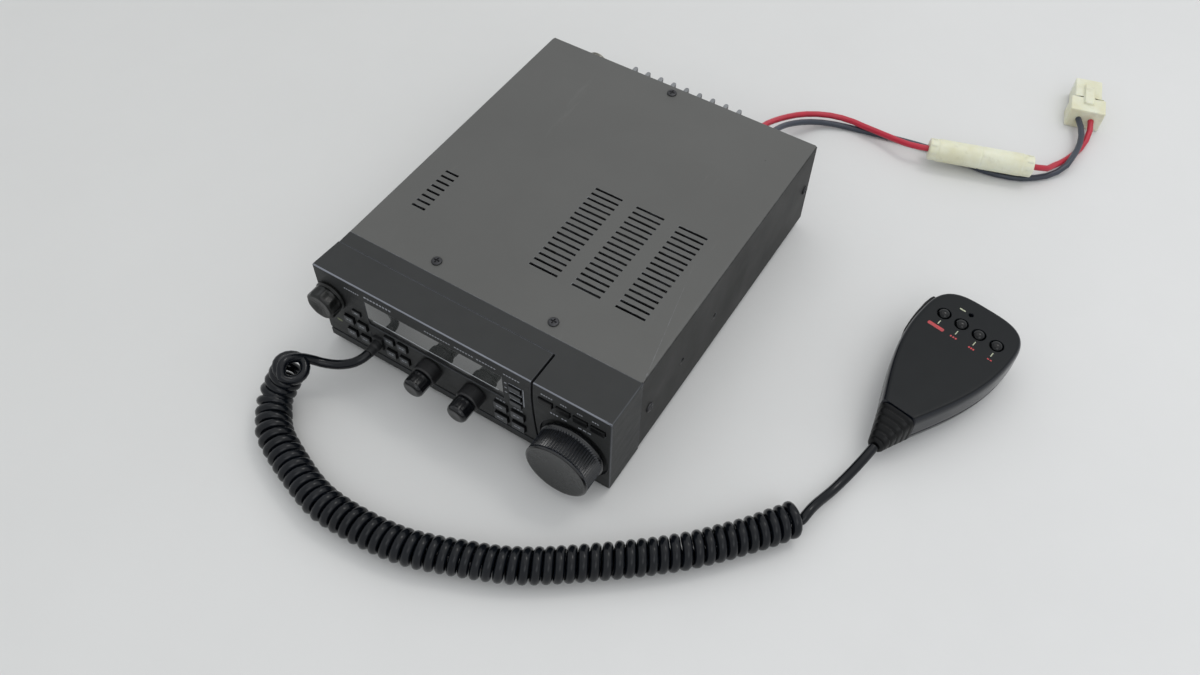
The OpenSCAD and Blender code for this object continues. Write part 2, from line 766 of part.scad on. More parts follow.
module mic_button(i) {
    color(black) at_mic() translate([mic_button_x[i], mic_button_y, 0]) rotate_extrude()
        polygon([
            [0, mic_top - 7], [mic_button_r - 1, mic_top - 7], [mic_button_r - 1, mic_top - 3.7],
            [mic_button_r + 0.8, mic_top - 3.7], [mic_button_r + 0.8, mic_top - 2.6],
            [mic_button_r, mic_top - 2.6], [mic_button_r, mic_top + 0.6],
            [mic_button_r - 1, mic_top + 1.4], [0, mic_top + 1.7]
        ]);
}

// ---- Cords ----

module mic_plug() {
    color(black) {
        around_jack(jack_mouth, [y_front - 2, y_board - 2], -0.15);
        rod_y(jack_pos[0], y_front - 9, jack_pos[1], 3.2, 8);
    }
}

module mic_cord_lead() {
    color(black) tube(lead_route, cord_d, 10);
}

module mic_cord_coil() {
    color(black) tube(coil_route, coil_d, 12);
}

module mic_cord_tail() {
    color(black) tube(tail_route, cord_d, 10);
}

module red_lead() {
    color("#c8324a") {
        tube(concat(red_route, [in_holder(-holder_l / 2), in_holder(-fuse_l / 2)]), lead_d, 8);
        tube(concat([in_holder(fuse_l / 2), in_holder(holder_l / 2)], red_route_end, [at_entry(4)]),
            lead_d, 8);
    }
}

module black_lead() {
    color("#34383f") tube(concat(black_route, [at_entry(-4)]), lead_d, 8);
}

module fuse_holder() {
    color(ivory) translate(holder_pos) rotate([0, 90, holder_turn]) difference() {
        cylinder(r = holder_r, h = holder_l, center = true);
        cylinder(r = lead_d / 2 + 0.2, h = holder_l + 2, center = true);
        cylinder(r = fuse_r + 0.1, h = fuse_l, center = true);
    }
    color("#d8d8d8") translate(holder_pos) rotate([0, 90, holder_turn])
        cylinder(r = fuse_r, h = fuse_l - 0.2, center = true);
}

// Two-pin plug with a wide neck, a latch rib and two slots for the pins, one upright and one flat
module power_plug() {
    pin_slot = [3.6, 8.6];
    color(ivory) at_plug() difference() {
        union() {
            slab([-plug_w / 2, plug_w / 2], [0, plug_neck], [0, plug_h]);
            slab([2.5 - plug_w / 2, plug_w / 2 - 2.5], [plug_neck - over, plug_l], [0.5, plug_h - 0.5]);
            slab([-3, 3], [6, plug_l - 8], [plug_h - over, plug_h + 2]);
        }
        slab([-5.6, pin_slot[0] - 5.6], [plug_neck + 4, plug_l + over],
            [(plug_h - pin_slot[1]) / 2, (plug_h + pin_slot[1]) / 2]);
        slab([-1, pin_slot[1] - 1], [plug_neck + 4, plug_l + over],
            [(plug_h - pin_slot[0]) / 2, (plug_h + pin_slot[0]) / 2]);
    }
}

module at_plug() {
    translate([plug_pos[0], plug_pos[1], 0]) rotate([0, 0, plug_turn]) children();
}

chassis_frame();
top_cover();
bottom_cover();
front_bezel();
heat_sink();
antenna_connector();
power_grommet();
rubber_feet();
cover_screws();
main_board();
speaker();
tuning_encoder();
speaker_jack();
main_dial();
function_button(0);  // function_button_1
function_button(1);  // function_button_2
function_button(2);  // function_button_3
function_button(3);  // function_button_4
head_front();
head_rear();
display_window();
head_board();
channel_knob();
inner_knob(volume_pos);  // volume_knob
outer_ring(volume_pos);  // volume_ring
inner_knob(squelch_pos);  // squelch_knob
outer_ring(squelch_pos);  // squelch_ring
mode_key();
side_key(0);  // side_key_1
side_key(1);  // side_key_2
side_key(2);  // side_key_3
scan_key(0);  // scan_key_1
scan_key(1);  // scan_key_2
scan_key(2);  // scan_key_3
scan_key(3);  // scan_key_4
keypad_key(0);  // keypad_key_1
keypad_key(1);  // keypad_key_2
keypad_key(2);  // keypad_key_3
keypad_key(3);  // keypad_key_4
keypad_key(4);  // keypad_key_5
keypad_key(5);  // keypad_key_6
keypad_key(6);  // keypad_key_7
keypad_key(7);  // keypad_key_8
mic_front_shell();
mic_rear_shell();
mic_board();
mic_strain_relief();
talk_bar();
mic_button(0);  // mic_button_1
mic_button(1);  // mic_button_2
mic_button(2);  // mic_button_3
mic_button(3);  // mic_button_4
mic_plug();
mic_cord_lead();
mic_cord_coil();
mic_cord_tail();
red_lead();
black_lead();
fuse_holder();
power_plug();
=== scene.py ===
from math import cos, hypot, pi, radians, sin

import bmesh
import bpy
from mathutils import Matrix, Vector, noise


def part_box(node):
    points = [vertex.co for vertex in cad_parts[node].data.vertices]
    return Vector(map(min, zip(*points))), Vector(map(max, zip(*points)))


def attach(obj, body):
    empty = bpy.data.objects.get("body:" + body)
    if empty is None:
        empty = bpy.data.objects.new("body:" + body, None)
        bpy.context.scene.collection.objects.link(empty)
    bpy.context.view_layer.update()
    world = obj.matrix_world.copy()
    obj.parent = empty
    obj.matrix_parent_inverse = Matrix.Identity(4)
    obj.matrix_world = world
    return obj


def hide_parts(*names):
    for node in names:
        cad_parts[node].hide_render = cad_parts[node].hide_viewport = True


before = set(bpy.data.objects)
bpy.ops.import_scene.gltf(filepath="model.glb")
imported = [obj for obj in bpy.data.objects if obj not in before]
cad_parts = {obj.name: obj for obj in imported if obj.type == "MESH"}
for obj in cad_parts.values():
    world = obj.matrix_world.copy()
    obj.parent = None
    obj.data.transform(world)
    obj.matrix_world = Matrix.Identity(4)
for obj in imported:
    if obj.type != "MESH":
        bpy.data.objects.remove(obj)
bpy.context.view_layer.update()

# Looks of the mobile transceiver. Lengths are in metres; MM turns millimetres into them.
MM = 0.001

# Planes of the case and the head, read from the frame
Y_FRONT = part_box("front_bezel")[0][1]
Z_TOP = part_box("front_bezel")[1][2]
X_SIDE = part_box("top_cover")[1][0]
Y_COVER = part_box("top_cover")[0][1]
Y_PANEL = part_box("heat_sink")[1][1]


def middle(node):
    """Centre of a CAD node's box."""
    low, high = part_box(node)
    return (Vector(low) + Vector(high)) / 2


# ---- Camera ----

CAMERA_PLACE = Vector((217.1, -334.7, 473.8)) * MM
CAMERA_AZIMUTH = 31.06
CAMERA_ELEVATION = 53.15
CAMERA_ROLL = 1.35
CAMERA_LENS = 31.52


def add_camera():
    az, el, roll = (radians(a) for a in (CAMERA_AZIMUTH, CAMERA_ELEVATION, CAMERA_ROLL))
    back = Vector((sin(az) * cos(el), -cos(az) * cos(el), sin(el)))
    level = Vector((cos(az), sin(az), 0))
    upright = back.cross(level)
    right = cos(roll) * level + sin(roll) * upright
    up = cos(roll) * upright - sin(roll) * level
    camera = bpy.data.objects.new("camera", bpy.data.cameras.new("camera"))
    camera.data.lens = CAMERA_LENS
    camera.data.sensor_width = 36
    camera.data.clip_start = 0.01
    turn = Matrix((right, up, back)).transposed().to_4x4()
    camera.matrix_world = Matrix.Translation(CAMERA_PLACE) @ turn
    bpy.context.scene.collection.objects.link(camera)
    bpy.context.scene.camera = camera


add_camera()


# ---- Node materials ----

class Shader:
    """A principled material with short calls for its nodes."""

    def __init__(self, name, **values):
        self.material = bpy.data.materials.new(name)
        self.material.use_nodes = True
        self.tree = self.material.node_tree
        self.surface = self.tree.nodes["Principled BSDF"]
        for key, value in values.items():
            self.surface.inputs[key.replace("_", " ")].default_value = value
        self.place = self.add("TexCoord").outputs["Object"]

    def add(self, kind, **values):
        """New node; a value that is a socket is linked, anything else is set."""
        node = self.tree.nodes.new("ShaderNode" + kind)
        for key, value in values.items():
            if hasattr(node, key):
                setattr(node, key, value)
            else:
                self.feed(node.inputs[key.replace("_", " ")], value)
        return node

    def feed(self, socket, value):
        if isinstance(value, bpy.types.NodeSocket):
            self.tree.links.new(value, socket)
        else:
            socket.default_value = value

    def noise(self, scale, detail=4, rough=0.55, place=None):
        return self.add("TexNoise", Vector=place or self.place, Scale=scale, Detail=detail,
                        Roughness=rough).outputs["Fac"]

    def stretched(self, scale):
        return self.add("Mapping", Vector=self.place, Scale=scale).outputs["Vector"]

    def span(self, value, low, high, to_low=0.0, to_high=1.0):
        """Value mapped from one range to another, clamped."""
        node = self.add("MapRange", Value=value)
        for socket, number in zip(list(node.inputs)[1:5], (low, high, to_low, to_high)):
            self.feed(socket, number)
        return node.outputs["Result"]

    def math(self, operation, a, b=0.0):
        node = self.add("Math", operation=operation)
        self.feed(node.inputs[0], a)
        self.feed(node.inputs[1], b)
        return node.outputs[0]

    def mix(self, amount, a, b):
        node = self.add("Mix", data_type="RGBA")
        sockets = [s for s in node.inputs if s.type == "RGBA"]
        self.feed(node.inputs[0], amount)
        self.feed(sockets[0], a)
        self.feed(sockets[1], b)
        return [s for s in node.outputs if s.type == "RGBA"][0]

    def bump(self, height, distance, below=None):
        node = self.add("Bump", Height=height, Distance=distance)
        if below is not None:
            self.feed(node.inputs["Normal"], below)
        return node.outputs["Normal"]

    def edges(self, radius):
        """1 on outer edges and 0 on flat places, from how far the rounded normal turns."""
        bevel = self.add("Bevel", Radius=radius, samples=6)
        flat = self.add("NewGeometry").outputs["True Normal"]
        dot = self.add("VectorMath", operation="DOT_PRODUCT")
        self.feed(dot.inputs[0], bevel.outputs["Normal"])
        self.feed(dot.inputs[1], flat)
        return self.span(dot.outputs["Value"], 0.995, 0.9)

    def upward(self):
        """1 on faces that look up: dust settles there, and the case paint leaves them out of its painted
        shade.
        """
        normal = self.add("NewGeometry").outputs["Normal"]
        return self.span(self.add("SeparateXYZ", Vector=normal).outputs["Z"], 0.5, 1.0)

    def finish(self, **sockets):
        for key, value in sockets.items():
            self.feed(self.surface.inputs[key.replace("_", " ")], value)
        return self.material


def rgb(*levels):
    """Linear colour from 0-255 display levels."""
    linear = [((v / 255 + 0.055) / 1.055) ** 2.4 if v > 10 else v / 255 / 12.92 for v in levels]
    return (*linear, 1.0)


def moulded(name, colour, rough=0.5, grain=0.00006, scale=2600, edge_colour=None, dust=0.0, mottle=0.12,
            coat=0.0, specular=0.5):
    """Moulded plastic or rubber: fine grain, patchy gloss, dust on top and paler edges, which are wear and,
    on the charcoal moulding, also a painted highlight.
    """
    s = Shader(name, Specular_IOR_Level=specular, Coat_Weight=coat, Coat_Roughness=0.2)
    cloud = s.noise(28, 5)
    fine = s.noise(scale, 2)
    darker = tuple(c * (1 - mottle) for c in colour[:3]) + (1,)
    lighter = tuple(min(1, c * (1 + mottle)) for c in colour[:3]) + (1,)
    base = s.mix(s.span(cloud, 0.3, 0.7), darker, lighter)
    if dust:
        settled = s.math("MULTIPLY", s.upward(), s.span(s.noise(160, 6, 0.7), 0.35, 0.75, 0, dust))
        base = s.mix(settled, base, rgb(150, 148, 142))
    if edge_colour:
        edge_mask = s.math("MULTIPLY", s.edges(0.5 * MM), s.span(s.noise(240, 4, 0.7), 0.25, 0.5))
        base = s.mix(edge_mask, base, edge_colour)
    smear = s.noise(90, 4, place=s.stretched((1, 1, 3)))
    roughness = s.span(smear, 0.3, 0.7, rough - 0.04, rough + 0.05)
    return s.finish(Base_Color=base, Roughness=roughness, Normal=s.bump(fine, grain))


def sheet_paint(name, colour):
    """Satin paint on sheet steel: orange peel, hair scratches, specks of dirt, rubbed edges, and painted
    shade that darkens the faces that do not look up.
    """
    s = Shader(name)
    cloud = s.noise(9, 6, 0.6)
    base = s.mix(s.span(cloud, 0.3, 0.7), tuple(c * 0.93 for c in colour[:3]) + (1,),
                 tuple(c * 1.07 for c in colour[:3]) + (1,))
    # Painted shade: faces that do not look up, such as the sides of the case, are mixed 12% towards dark
    # grey.
    base = s.mix(s.upward(), s.mix(0.12, rgb(34, 34, 34), base), base)
    scuffs = s.span(s.noise(60, 8, 0.75, s.stretched((1, 0.12, 1))), 0.62, 0.8, 0, 0.12)
    base = s.mix(scuffs, base, rgb(150, 150, 148))
    cell = s.add("TexVoronoi", Vector=s.place, Scale=42.0)
    speck = s.span(cell.outputs["Distance"], 0.012, 0.03, 1, 0)
    rare = s.span(s.add("SeparateColor", Color=cell.outputs["Color"]).outputs["Red"], 0.80, 0.81)
    base = s.mix(s.math("MULTIPLY", speck, s.math("MULTIPLY", rare, 0.75)), base, rgb(46, 46, 44))
    chips = s.math("MULTIPLY", s.edges(0.6 * MM), s.span(s.noise(190, 6, 0.7), 0.42, 0.62))
    base = s.mix(chips, base, rgb(136, 138, 142))
    rough = s.span(s.noise(22, 5), 0.3, 0.7, 0.42, 0.56)
    peel = s.bump(s.noise(900, 2), 0.00003)
    hair = s.bump(s.noise(420, 5, 0.8, s.stretched((1, 0.05, 1))), 0.00002, below=peel)
    gloss = s.span(s.upward(), 0, 1, 0.12, 0.45)
    return s.finish(Base_Color=base, Roughness=rough, Normal=hair, Specular_IOR_Level=gloss)


def metal(name, colour, rough, grain=0.00002):
    """Bare or plated metal: fine streaks in its gloss and grain, and faint darker stains."""
    s = Shader(name, Metallic=1.0)
    streak = s.noise(700, 5, 0.7)
    stain = s.span(s.noise(35, 6, 0.65), 0.35, 0.75)
    base = s.mix(stain, colour, tuple(c * 0.7 for c in colour[:3]) + (1,))
    return s.finish(Base_Color=base, Roughness=s.span(streak, 0.3, 0.7, rough - 0.08, rough + 0.12),
                    Normal=s.bump(streak, grain))


def glossy_window(name):
    """Smoked display window: clear gloss with faint dust and hairline scratches."""
    s = Shader(name, Specular_IOR_Level=0.6, Coat_Weight=1.0, Coat_Roughness=0.03, Coat_IOR=1.95)
    base = s.mix(s.span(s.noise(12, 3), 0.3, 0.7), rgb(50, 52, 51), rgb(62, 64, 62))
    scratch = s.span(s.noise(300, 6, 0.8, s.stretched((0.08, 1, 1))), 0.6, 0.75, 0.05, 0.15)
    return s.finish(Base_Color=base, Roughness=scratch, Normal=s.bump(s.noise(25, 1), 0.00001))


def vinyl(name, colour):
    """Soft wire insulation with a waxy gloss."""
    s = Shader(name, Specular_IOR_Level=0.5, Subsurface_Weight=0.06)
    s.surface.inputs["Subsurface Scale"].default_value = 0.002
    base = s.mix(s.span(s.noise(60, 4), 0.3, 0.7), tuple(c * 0.82 for c in colour[:3]) + (1,), colour)
    return s.finish(Base_Color=base, Roughness=s.span(s.noise(200, 4), 0.3, 0.7, 0.32, 0.46),
                    Normal=s.bump(s.noise(500, 3), 0.00004))


def nylon(name, colour):
    """Natural nylon: a little light passes through it, and it has yellowed unevenly."""
    s = Shader(name, Subsurface_Weight=0.25, Specular_IOR_Level=0.45)
    s.surface.inputs["Subsurface Radius"].default_value = (0.9, 0.8, 0.5)
    s.surface.inputs["Subsurface Scale"].default_value = 0.003
    base = s.mix(s.span(s.noise(45, 5), 0.3, 0.7), colour, rgb(212, 209, 178))
    grime = s.math("MULTIPLY", s.span(s.noise(120, 7, 0.7), 0.56, 0.75), 0.35)
    base = s.mix(grime, base, rgb(160, 156, 132))
    return s.finish(Base_Color=base, Roughness=s.span(s.noise(90, 3), 0.3, 0.7, 0.34, 0.48),
                    Normal=s.bump(s.noise(420, 3), 0.00004))


def printed(name, colour):
    """Printing ink, worn thin in places."""
    s = Shader(name)
    faded = s.span(s.noise(1500, 4, 0.7), 0.35, 0.6, 0.35, 1)
    ink = s.mix(faded, rgb(70, 72, 74), colour)
    return s.finish(Base_Color=ink, Roughness=s.span(faded, 0, 1, 0.6, 0.45))


def circuit_board(name):
    """Green solder mask over a pattern of tracks."""
    s = Shader(name, Specular_IOR_Level=0.5)
    cell = s.add("TexVoronoi", Vector=s.place, Scale=260.0, distance="MANHATTAN").outputs["Distance"]
    tracks = s.span(cell, 0.25, 0.3)
    return s.finish(Base_Color=s.mix(tracks, rgb(30, 92, 48), rgb(22, 66, 36)),
                    Roughness=s.span(s.noise(80, 3), 0.3, 0.7, 0.3, 0.5), Normal=s.bump(cell, 0.00005))


# Colours of the pieces
CASE = sheet_paint("case_paint", rgb(82, 82, 80))
# The charcoal moulding's paler edges are partly wear and partly a painted highlight along its edges.
CHARCOAL = moulded("charcoal_moulding", rgb(44, 45, 45), 0.55, edge_colour=rgb(84, 87, 94), mottle=0.05,
                   specular=0.3)
# Painted highlights: a pale one on the edge between top and front, and a fainter one on the right corner's
# edges.
CHARCOAL_EDGE_HIGHLIGHT = moulded("charcoal_painted_edge_highlight", rgb(116, 119, 127), 0.36, mottle=0.2)
SIDE_EDGE_HIGHLIGHT = moulded("charcoal_painted_side_highlight", rgb(66, 68, 72), 0.4, mottle=0.25)
STEEL = metal("zinc_steel", rgb(170, 172, 174), 0.4)
CAST = metal("cast_aluminium", rgb(150, 152, 154), 0.5, grain=0.00008)
NICKEL = metal("nickel", rgb(178, 176, 170), 0.28)
BRASS = metal("gilt_contact", rgb(201, 170, 96), 0.3)
TEFLON = moulded("white_insulator", rgb(226, 222, 208), 0.4, 0.00002)
SCREW = metal("black_screw", rgb(74, 74, 76), 0.42)
RUBBER = moulded("rubber", rgb(30, 31, 33), 0.62, 0.00008, 1400, dust=0.2)
JACKET = moulded("cord_jacket", rgb(10, 13, 18), 0.16, 0.00002, 900, mottle=0.2, specular=0.27)
KNOB = moulded("knob", rgb(9, 10, 12), 0.24, 0.00002, 1800, edge_colour=rgb(50, 54, 62), coat=0.25)
CAP = moulded("glossy_cap", rgb(8, 9, 12), 0.16, 0.00001, 1800, edge_colour=rgb(38, 42, 52), coat=0.2, specular=0.34)
RING = moulded("matt_ring", rgb(15, 15, 17), 0.46, 0.00003, 1800)
KNOB_FACE = moulded("knob_face", rgb(22, 25, 25), 0.27, 0.00002, 1800, dust=0.05)
CHANNEL = moulded("channel_knob", rgb(12, 13, 12), 0.36, 0.00003, 1800, specular=0.4)
KEY = moulded("key_side", rgb(9, 10, 11), 0.38, specular=0.25)
# Pale key face: a painted highlight on the forward face of keys whose sides keep the dark key colour.
KEY_LIT_FACE = moulded("key_face_painted_lit", rgb(58, 60, 62), 0.45, edge_colour=rgb(92, 96, 102))
PANEL_DARK = moulded("dark_plastic", rgb(20, 21, 23), 0.5)
WINDOW = glossy_window("smoked_window")
WINDOW_FOOT = moulded("window_foot", rgb(40, 41, 42), 0.3)
MIC = moulded("mic_shell", rgb(10, 14, 17), 0.4, 0.00003, 2200, mottle=0.06, specular=0.22)
MIC_SIDE = moulded("mic_gloss_side", rgb(12, 16, 24), 0.24, 0.00001, 1500, coat=0.1, specular=0.35)
MIC_BACK = moulded("mic_back_shell", rgb(12, 16, 24), 0.28, 0.00001, 2000, specular=0.35)
RELIEF_RUBBER = moulded("relief_rubber", rgb(4, 5, 6), 0.36, 0.00001, 1200, specular=0.25)
MIC_BUTTON = moulded("mic_button", rgb(5, 6, 8), 0.1, 0.00001, 900, specular=0.35)
RED = vinyl("red_vinyl", rgb(186, 32, 56))
BLACK = vinyl("black_vinyl", rgb(52, 58, 70))
IVORY = nylon("ivory_nylon", rgb(228, 230, 214))
BOARD = circuit_board("solder_mask")
CREASE = moulded("window_crease", rgb(188, 192, 194), 0.25)
PRINT = printed("pale_print", rgb(160, 163, 170))
PRINT_CREAM = printed("cream_print", rgb(196, 200, 170))
PRINT_RED = printed("red_print", rgb(196, 52, 58))
LAMP = printed("lamp_window", rgb(112, 120, 78))


# ---- Making pieces ----

def link(name, data):
    obj = bpy.data.objects.new(name, data)
    bpy.context.scene.collection.objects.link(obj)
    return obj


def shade(obj, angle=38, weighted=True):
    for polygon in obj.data.polygons:
        polygon.use_smooth = True
    obj.data.set_sharp_from_angle(angle=radians(angle))
    if weighted:
        modifier = obj.modifiers.new("normals", "WEIGHTED_NORMAL")
        modifier.keep_sharp = True
        modifier.weight = 80


def piece(name, bm, body, materials, replaces=(), angle=38, weighted=True):
    """Mesh object from a bmesh, riding on a body."""
    mesh = bpy.data.meshes.new(name)
    bmesh.ops.recalc_face_normals(bm, faces=bm.faces)
    bm.to_mesh(mesh)
    bm.free()
    obj = link(name, mesh)
    for material in materials:
        mesh.materials.append(material)
    shade(obj, angle, weighted)
    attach(obj, body)
    if replaces:
        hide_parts(*replaces)
    return obj


def cad_mesh(node):
    """The node's CAD mesh with its flat faces joined up."""
    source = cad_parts[node]
    bm = bmesh.new()
    bm.from_mesh(source.data)
    bm.transform(source.matrix_world)
    bmesh.ops.remove_doubles(bm, verts=bm.verts, dist=2e-6)
    bmesh.ops.dissolve_limit(bm, angle_limit=radians(0.6), verts=bm.verts, edges=bm.edges)
    return bm


def round_edges(bm, width, segments=2, only=None, angle=32):
    """Rounds the sharp edges whose middle passes the test."""
    chosen = []
    for edge in bm.edges:
        if len(edge.link_faces) != 2 or edge.calc_face_angle(0) < radians(angle):
            continue
        centre = (edge.verts[0].co + edge.verts[1].co) / 2
        if only is None or only(centre, edge):
            chosen.append(edge)
    bmesh.ops.bevel(bm, geom=chosen, offset=width, offset_type="OFFSET", segments=segments,
                    profile=0.5, affect="EDGES", clamp_overlap=False)


def cad_piece(node, body, materials, edge, segments=2, rounds=(), only=None, paint=None):
    """Copy of a CAD node with rounded edges. Rounds are (test, width, segments), done first."""
    bm = cad_mesh(node)
    for test, width, steps in rounds:
        round_edges(bm, width, steps, test)
    round_edges(bm, edge, segments, only)
    if paint:
        for face in bm.faces:
            face.material_index = paint(face)
    return piece(node + "_looks", bm, body, materials, (node,))


def change_shape(obj, other_mesh, operation):
    """Joins a mesh to a piece, or cuts it out, and keeps nothing of the helper."""
    helper = link("helper", other_mesh)
    modifier = obj.modifiers.new("change", "BOOLEAN")
    modifier.operation = operation
    modifier.solver = "EXACT"
    modifier.object = helper
    graph = bpy.context.evaluated_depsgraph_get()
    result = bpy.data.meshes.new_from_object(obj.evaluated_get(graph), depsgraph=graph)
    obj.modifiers.remove(modifier)
    obj.data = result
    bpy.data.objects.remove(helper)


def near(a, b, tolerance=0.2 * MM):
    return abs(a - b) < tolerance


def add_block(bm, size, matrix):
    """Box of a size in mm, centred on a matrix's origin."""
    for vert in bmesh.ops.create_cube(bm, size=1.0)["verts"]:
        vert.co = matrix @ Vector([c * length * MM for c, length in zip(vert.co, size)])


def keep_cad(node, *materials):
    """The CAD node is shown as it is, with a better material."""
    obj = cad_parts[node]
    obj.data.materials.clear()
    for material in materials:
        obj.data.materials.append(material)


def ring_strip(bm, rings, closed_ends=True, material=0):
    """Skin over a list of rings, each a list of points with the same count."""
    loops = [[bm.verts.new(point) for point in ring] for ring in rings]
    count = len(loops[0])
    for low, high in zip(loops, loops[1:]):
        for i in range(count):
            j = (i + 1) % count
            face = bm.faces.new((low[i], low[j], high[j], high[i]))
            face.material_index = material
    if closed_ends:
        bm.faces.new(loops[0][::-1]).material_index = material
        bm.faces.new(loops[-1]).material_index = material


def add_turned(bm, profile, steps, matrix, closed_ends=True, material=0, ripple=None):
    """Turned shape along a matrix's Z, from (along, radius) in mm.

    ripple(along, angle) adds to the radius; its lengths are in metres.
    """
    rings = []
    for along, radius in profile:
        ring = []
        for i in range(steps):
            angle = 2 * pi * i / steps
            r = radius * MM + (ripple(along * MM, angle) if ripple else 0)
            ring.append(matrix @ Vector((r * cos(angle), r * sin(angle), along * MM)))
        rings.append(ring)
    ring_strip(bm, rings, closed_ends, material)


def looking(direction, place):
    """Matrix that takes +Z to a direction, with its origin at a place."""
    turn = Vector((0, 0, 1)).rotation_difference(Vector(direction)).to_matrix().to_4x4()
    return Matrix.Translation(place) @ turn


def rounded(profile, radius, steps=4):
    """Profile with each inner corner replaced by a short arc of about that radius."""
    points = [Vector(p) for p in profile]
    out = [points[0]]
    for before, corner, after in zip(points, points[1:], points[2:]):
        a = before - corner
        b = after - corner
        reach = min(radius, a.length * 0.45, b.length * 0.45)
        start = corner + a.normalized() * reach
        end = corner + b.normalized() * reach
        for i in range(steps + 1):
            t = i / steps
            out.append((1 - t) ** 2 * start + 2 * t * (1 - t) * corner + t ** 2 * end)
    out.append(points[-1])
    return [tuple(p) for p in out]


# ---- Cords ----

def smooth_route(points, steps):
    """Catmull-Rom curve through the points."""
    pts = [Vector(p) for p in points]
    pts = [2 * pts[0] - pts[1]] + pts + [2 * pts[-1] - pts[-2]]
    out = []
    for a, b, c, d in zip(pts, pts[1:], pts[2:], pts[3:]):
        for i in range(steps):
            t = i / steps
            out.append(0.5 * (2 * b + (c - a) * t + (2 * a - 5 * b + 4 * c - d) * t ** 2
                              + (3 * b - a - 3 * c + d) * t ** 3))
    out.append(pts[-2])
    return out


def length_of(points):
    return sum((b - a).length for a, b in zip(points, points[1:]))


def spaced(points, count):
    """The same curve with evenly spaced points."""
    total = length_of(points)
    out = [points[0]]
    walked = 0.0
    for a, b in zip(points, points[1:]):
        step = (b - a).length
        while len(out) < count - 1 and walked + step >= total * len(out) / (count - 1):
            out.append(a.lerp(b, (total * len(out) / (count - 1) - walked) / step))
        walked += step
    out.append(points[-1])
    return out


def curve_piece(name, points, diameter, material, body):
    curve = bpy.data.curves.new(name, "CURVE")
    curve.dimensions = "3D"
    curve.bevel_depth = diameter / 2
    curve.bevel_resolution = 4
    curve.use_fill_caps = True
    spline = curve.splines.new("POLY")
    spline.points.add(len(points) - 1)
    for target, point in zip(spline.points, points):
        target.co = (*point, 1)
    curve.materials.append(material)
    spline.use_smooth = True
    obj = link(name, curve)
    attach(obj, body)
    return obj


# Routes are in mm, as the design has them. The coil's turns vary: the first ring is the widest, and
# the turns round LOOSE_TURN have sagged open a little.
CORD_D = 5.2 * MM
COIL_D = 18.5 * MM
COIL_PITCH = 5.5 * MM
COIL_STEPS = 20
COIL_WOBBLE = 0.035
COIL_SLIP = 0.1
FIRST_RING_WIDER = 0.16
FIRST_RING_TURNS = 1.5
LOOSE_TURN = 8
LOOSE_SPREAD = 6
LOOSE_WIDER = 0.07
LEAD_ROUTE = [
    (-55, -120, 22), (-56, -124, 21.5), (-59.5, -128.5, 20), (-66, -133, 19),
    (-73.5, -137.5, 21), (-80, -141.5, 26), (-84.5, -146, 31)]
COIL_ROUTE = [
    (-78.3, -151.1, 30.5), (-80.7, -150.6, 26), (-82.6, -152.8, 21.4), (-84, -157.6, 15.6),
    (-83.6, -164, 10.8), (-78, -171.5, 9.5), (-66.5, -181.3, 9.5), (-34, -194, 9.5),
    (-12, -197, 9.5), (22, -194, 9.5), (51, -184, 9.5), (78, -171.5, 9.5), (108, -150, 9.5),
    (138, -125, 9.5), (159, -102.5, 9.5), (172, -86, 9.5), (178, -77, 9.5)]
TAIL_ROUTE = [
    (179, -77, 14), (180, -70, 10.5), (183, -62, 7.5), (186, -52, 6), (189, -41, 7),
    (191.6, -31, 9.5), (193.6, -21, 11)]


def coil_points():
    """Left-handed helix round the coil's route. It starts at the top, on the left of the first ring."""
    axis = smooth_route([Vector(p) * MM for p in COIL_ROUTE], 24)
    turns = round(length_of(axis) / COIL_PITCH)
    axis = spaced(axis, turns * COIL_STEPS + 1)
    radius = (COIL_D - CORD_D) / 2
    side = Vector((-1, 0.3, 0))
    out = []
    for i, centre in enumerate(axis):
        ahead = (axis[min(i + 1, len(axis) - 1)] - axis[max(i - 1, 0)]).normalized()
        side = (side - ahead * side.dot(ahead)).normalized()
        other = ahead.cross(side)
        angle = -2 * pi * i / COIL_STEPS
        turn = i / COIL_STEPS
        sway = 1 + COIL_WOBBLE * noise.noise(Vector((turn * 0.31, 4.0, 0)))
        sway += FIRST_RING_WIDER * max(0, 1 - turn / FIRST_RING_TURNS)
        sway += LOOSE_WIDER * max(0, 1 - abs(turn - LOOSE_TURN) / LOOSE_SPREAD)
        slip = COIL_PITCH * COIL_SLIP * noise.noise(Vector((turn * 0.23, 9.0, 0)))
        spot = centre + radius * sway * (cos(angle) * side + sin(angle) * other) + ahead * slip
        spot.z = max(spot.z, CORD_D / 2)
        out.append(spot)
    return out


def relaxed(points, first, last, rounds):
    """Smooths the points between two places on a route."""
    pts = list(points)
    for _ in range(rounds):
        for i in range(max(first, 1), min(last, len(pts) - 1)):
            pts[i] = pts[i] * 0.5 + (pts[i - 1] + pts[i + 1]) * 0.25
    return pts


def curly_cord():
    """One cord from the plug through the coil to the microphone, eased where the coil starts and ends."""
    lead = spaced(smooth_route([Vector(p) * MM for p in LEAD_ROUTE], 12), 16)
    tail = spaced(smooth_route([Vector(p) * MM for p in TAIL_ROUTE], 12), 22)
    coil = coil_points()
    points = lead[:-1] + coil + tail[1:]
    points = relaxed(points, len(lead) - 5, len(lead) + 5, 12)
    points = relaxed(points, len(lead) + len(coil) - 8, len(lead) + len(coil) + 5, 14)
    cord = curve_piece("curly_cord", points, CORD_D, JACKET, "head")
    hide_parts("mic_cord_lead", "mic_cord_coil", "mic_cord_tail")
    return cord, points


